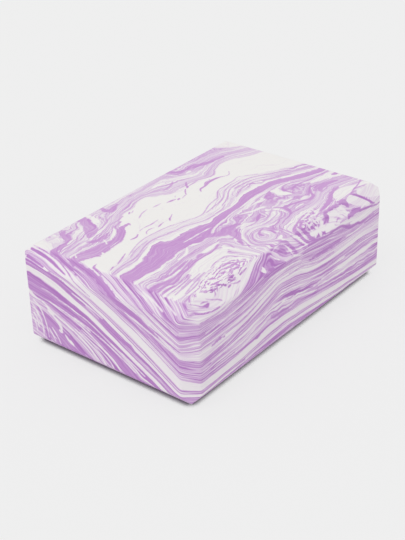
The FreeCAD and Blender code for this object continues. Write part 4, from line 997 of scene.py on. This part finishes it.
def makeFoam():
    # pressed two-colour EVA foam, sawn to size: matt, with streaks of both colours and a grain of cut cells;
    # its top face is painted lighter, as sheen, and its sides darker, as shade
    material = bpy.data.materials.new("eva_foam_marbled")
    material.use_nodes = True
    tree = material.node_tree
    tree.nodes.clear()
    node = partial(addNode, tree)
    spot = node("ShaderNodeVectorMath", operation="SCALE", inputs={
        0: node("ShaderNodeTexCoord", out="Object"), "Scale": 1 / mm})  # in mm
    lid, tail, drawnLayer, crowding = [node("ShaderNodeAttribute", attribute_name=name, out="Fac")
                                       for name in ("lid", "tail", "layer", "crowding")]

    # the strata waver a little, more where the top face cuts them at a slant
    sway = node("ShaderNodeMix", {0: lid, 2: foamLook["sideSway"], 3: foamLook["topSway"]})
    drift = node("ShaderNodeTexNoise", {"Vector": spot, "Scale": 1 / foamLook["swayWidth"], "Detail": 3.0})
    swing = node("ShaderNodeMath", [drift, 2.0, -1.0], operation="MULTIPLY_ADD")  # from -1 to 1
    layer = node("ShaderNodeMath", [swing, sway, drawnLayer], operation="MULTIPLY_ADD")

    def tone(name):  # how violet a level of the stack is, from its tone curve
        curve = foamLook[name]
        low, high = curve[0][0], curve[-1][0]
        share = node("ShaderNodeMapRange", [layer, low, high])
        return node("ShaderNodeValToRGB", [share], stops=[
            ((level - low) / (high - low), (value, value, value, 1.0)) for level, value in curve])

    sides = node("ShaderNodeMix", {0: tail, 2: tone("frontTones"), 3: tone("endTones")})
    upper = node("ShaderNodeMix", {0: lid, 2: sides, 3: tone("topTones")})
    isUpper = node("ShaderNodeMath", [layer, foamLook["splitLevel"]], operation="GREATER_THAN")
    base = node("ShaderNodeMix", {0: isUpper, 2: tone("lowTones"), 3: upper})

    # streaks are drawn out along the strata
    axes = node("ShaderNodeSeparateXYZ", [spot]).node.outputs
    along = node("ShaderNodeCombineXYZ", [axes[0], axes[1], layer])
    streaks = 0.0
    for length, thick, strength in foamLook["streaks"]:
        both = []
        for fine in (thick, thick * foamLook["topThinning"]):
            scale = (1 / length, 1 / length, 1 / fine)
            drawn = node("ShaderNodeVectorMath", [along, scale], operation="MULTIPLY")
            fibre = node("ShaderNodeTexNoise", {"Vector": drawn, "Scale": 1.0, "Detail": 1.0})
            centred = node("ShaderNodeMath", [fibre, foamLook["noiseMiddle"]], operation="SUBTRACT")
            gone = fine / foamLook["finest"]  # none where they would be too fine to see
            going = foamLook["fineShare"] * gone
            seen = node("ShaderNodeMapRange", [crowding, gone, going, 0.0, strength])
            both.append(node("ShaderNodeMath", [centred, seen], operation="MULTIPLY"))
        fibres = node("ShaderNodeMix", {0: lid, 2: both[0], 3: both[1]})
        streaks = node("ShaderNodeMath", [streaks, fibres], operation="ADD")
    rest = node("ShaderNodeMath", [1.0, base], operation="SUBTRACT")
    mixed = node("ShaderNodeMath", [base, rest], operation="MULTIPLY")  # 0 in a clean sheet, up to 0.25
    gains = [mixed, foamLook["mixedGain"], foamLook["plainGain"]]
    gain = node("ShaderNodeMath", gains, operation="MULTIPLY_ADD")
    amount = node("ShaderNodeMath", [streaks, gain, base], operation="MULTIPLY_ADD")

    # hairlines of each colour run along the mixed strata
    mixedness = node("ShaderNodeMapRange", [mixed, 0.0, foamLook["hairMixed"], foamLook["hairLeast"], 1.0])
    length = foamLook["hairLength"]
    for tint, shift in ((foamLook["hairTone"], (0, 0, 0)), (-foamLook["hairTone"], foamLook["hairShift"])):
        both = []
        for fine in (foamLook["hairSpacing"], foamLook["hairSpacing"] * foamLook["topThinning"]):
            scale = (1 / length, 1 / length, 1 / fine)
            drawn = node("ShaderNodeVectorMath", [along, scale, shift], operation="MULTIPLY_ADD")
            fold = node("ShaderNodeTexNoise", {"Vector": drawn, "Scale": 1.0, "Detail": 1.0})
            off = node("ShaderNodeMath", [fold, foamLook["noiseMiddle"]], operation="SUBTRACT")
            gap = node("ShaderNodeMath", [off], operation="ABSOLUTE")
            both.append(node("ShaderNodeMapRange", [gap, foamLook["hairEdge"], 0.0, 0.0, tint]))
        hair = node("ShaderNodeMix", {0: lid, 2: both[0], 3: both[1]})
        amount = node("ShaderNodeMath", [hair, mixedness, amount], operation="MULTIPLY_ADD")

    # marks lie over the strata, with torn edges
    mottle = node("ShaderNodeTexNoise", {"Vector": spot, "Scale": 1 / foamLook["mottleSize"], "Detail": 3.0})
    specks = node("ShaderNodeMapRange", [mottle, *foamLook["mottleEdges"], 0.0, foamLook["mottleTone"]])
    for name, (grain, ragged, fade, tint, streaky) in foamLook["marks"].items():
        tear = node("ShaderNodeTexNoise", inputs={
            "Vector": spot, "Scale": 1 / grain, "Detail": 3.0, "Roughness": 0.6})
        shift = node("ShaderNodeMath", [tear, 2 * ragged, -ragged], operation="MULTIPLY_ADD")
        edge = node("ShaderNodeAttribute", attribute_name=name, out="Fac")
        depth = node("ShaderNodeMath", [edge, shift], operation="ADD")
        share = node("ShaderNodeMapRange", [depth, fade, -fade], interpolation_type="SMOOTHSTEP")
        inner = node("ShaderNodeMath", [streaks, streaky, tint], operation="MULTIPLY_ADD")
        if name == "crumb":
            inner = node("ShaderNodeMath", [inner, specks], operation="ADD")
        if name == "knot":  # dashes in rings that follow the knot's outline
            inward = node("ShaderNodeCombineXYZ", [axes[0], axes[1], depth])
            scale = (1 / foamLook["ringLength"], 1 / foamLook["ringLength"], 1 / foamLook["ringSpacing"])
            ringed = node("ShaderNodeVectorMath", [inward, scale], operation="MULTIPLY")
            rings = node("ShaderNodeTexNoise", {"Vector": ringed, "Scale": 1.0, "Detail": 2.0})
            inner = node("ShaderNodeMapRange", [rings, *foamLook["ringEdges"], tint, foamLook["ringTone"]])
        amount = node("ShaderNodeMix", {0: share, 2: amount, 3: inner})

    # the top face takes the set with the painted sheen, the sides and bevels the set with painted shade
    sheenPaintedTopColour, shadePaintedSideColour = [
        node("ShaderNodeValToRGB", [amount], stops=[(at, hexToLinear(code)) for at, code in foamLook[name]])
        for name in ("sheenPaintedTopColours", "shadePaintedSideColours")]
    colour = node("ShaderNodeMix", {0: lid, 6: shadePaintedSideColour, 7: sheenPaintedTopColour}, out=2, data_type="RGBA")

    cells = node("ShaderNodeTexNoise", {"Vector": spot, "Scale": 1 / foamLook["cellSize"], "Detail": 2.0})
    bump = node("ShaderNodeBump", {"Strength": 1.0, "Distance": foamLook["cellDepth"], "Height": cells})
    shader = node("ShaderNodeBsdfPrincipled", {
        "Base Color": colour, "Roughness": foamLook["roughness"], "Normal": bump})
    node("ShaderNodeOutputMaterial", [shader])
    return material


# Floor, light and camera

studio = {
    "floor": "#EFEFEF",
    "paintedContactShadow": "#5A4D5F",  # painted shadow: the floor's colour right where the block meets it
    "contactReach": 7.0 * mm,
    "contactSamples": 12,
    "contactFrom": 0.22,  # share of open sky over the floor where the contact shadow is full
    "contactTo": 0.42,  # and where it ends
    "shadow": 0.15,  # how much of the soft shadow shows on the floor
    "reach": 6.0,  # m, from the block to the floor's edges
    "sky": 0.86,  # brightness of the white all round
    "sun": 0.16,  # what the lamp adds to a white face turned to it
    "sunFrom": (-0.6, 0.05, 0.8),  # direction
    "sunAngle": 40,  # degrees, wide enough for soft shadows
}


def makeStudio():
    reach = studio["reach"]
    floorMesh = bpy.data.meshes.new("floor")
    corners = [(-reach, -reach, 0), (reach, -reach, 0), (reach, reach, 0), (-reach, reach, 0)]
    floorMesh.from_pydata(corners, [], [(0, 1, 2, 3)])
    floor = bpy.data.objects.new("floor", floorMesh)
    bpy.context.scene.collection.objects.link(floor)

    # matt studio paper, shown pale to the camera, with a painted shadow: its colour turns dark in a line
    # where the block stands on it
    paper = bpy.data.materials.new("studio_paper")
    paper.use_nodes = True
    tree = paper.node_tree
    tree.nodes.clear()
    node = partial(addNode, tree)
    openSky = node("ShaderNodeAmbientOcclusion", {"Distance": studio["contactReach"]}, out="AO",
                   samples=studio["contactSamples"])
    clear = node("ShaderNodeMapRange", [openSky, studio["contactFrom"], studio["contactTo"]])
    # the paper's own colour darkens near the block, for every ray: a painted contact shadow
    tint = node("ShaderNodeMix", out=2, data_type="RGBA", inputs={
        0: clear, 6: hexToLinear(studio["paintedContactShadow"]), 7: hexToLinear(studio["floor"])})
    rays = node("ShaderNodeLightPath").node.outputs
    seen = node("ShaderNodeMath", [rays["Is Camera Ray"], rays["Is Glossy Ray"]], operation="MAXIMUM")
    seen = node("ShaderNodeMath", [seen, rays["Is Transmission Ray"]], operation="MAXIMUM")
    glow = node("ShaderNodeMath", [seen, 1 - studio["shadow"]], operation="MULTIPLY")
    matt = node("ShaderNodeBsdfDiffuse", {"Color": tint})
    pale = node("ShaderNodeEmission", {"Color": tint})
    shader = node("ShaderNodeMixShader", [glow, matt, pale])
    node("ShaderNodeOutputMaterial", [shader])
    floorMesh.materials.append(paper)

    world = bpy.data.worlds.new("studio_sky")
    world.use_nodes = True
    background = world.node_tree.nodes["Background"].inputs
    background["Color"].default_value = (1, 1, 1, 1)
    background["Strength"].default_value = studio["sky"]
    bpy.context.scene.world = world

    lamp = bpy.data.lights.new("softbox", "SUN")
    lamp.energy = math.pi * studio["sun"]
    lamp.angle = math.radians(studio["sunAngle"])
    sun = bpy.data.objects.new("softbox", lamp)
    sun.rotation_euler = Vector(studio["sunFrom"]).to_track_quat("Z", "Y").to_euler()
    bpy.context.scene.collection.objects.link(sun)


view = {  # fitted to the block's edges and corners in the photograph
    "azimuth": -50.829,  # degrees
    "elevation": 29.481,
    "roll": -1.705,
    "distance": 866.657 * mm,  # from the middle of the block's underside
    "right": -6.502 * mm,  # steps aside in the picture plane
    "up": 24.48 * mm,
    "focalPixels": 1190.162,  # focal length in pixels of the photograph
    "imageHeight": 540,  # its height in pixels
}


def makeCamera():
    azimuth, elevation, roll = [math.radians(view[name]) for name in ("azimuth", "elevation", "roll")]
    back = Vector((math.sin(azimuth) * math.cos(elevation), -math.cos(azimuth) * math.cos(elevation),
                   math.sin(elevation)))
    level = (-back).cross(Vector((0, 0, 1))).normalized()
    upright = level.cross(-back)
    right = level * math.cos(roll) + upright * math.sin(roll)
    up = upright * math.cos(roll) - level * math.sin(roll)
    lens = bpy.data.cameras.new("camera")
    lens.lens = view["focalPixels"] / view["imageHeight"] * lens.sensor_width
    camera = bpy.data.objects.new("camera", lens)
    place = back * view["distance"] + right * view["right"] + up * view["up"]
    camera.matrix_world = Matrix.Translation(place) @ Matrix((right, up, back)).transposed().to_4x4()
    bpy.context.scene.collection.objects.link(camera)
    bpy.context.scene.camera = camera


foam = makeFoam()
sheets = cutSheets(makeBrick(foam), foam)
strata = fitStrata()
for name, sheet in sheets.items():
    markStrata(sheet, strata)
    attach(sheet, "root")
    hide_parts(name)
print("marks:", {name: sum(map(len, marks.values())) for name, marks in strokes.items()})
makeStudio()
makeCamera()
print("studio and camera set")
bpy.context.scene.view_settings.view_transform = "Standard"
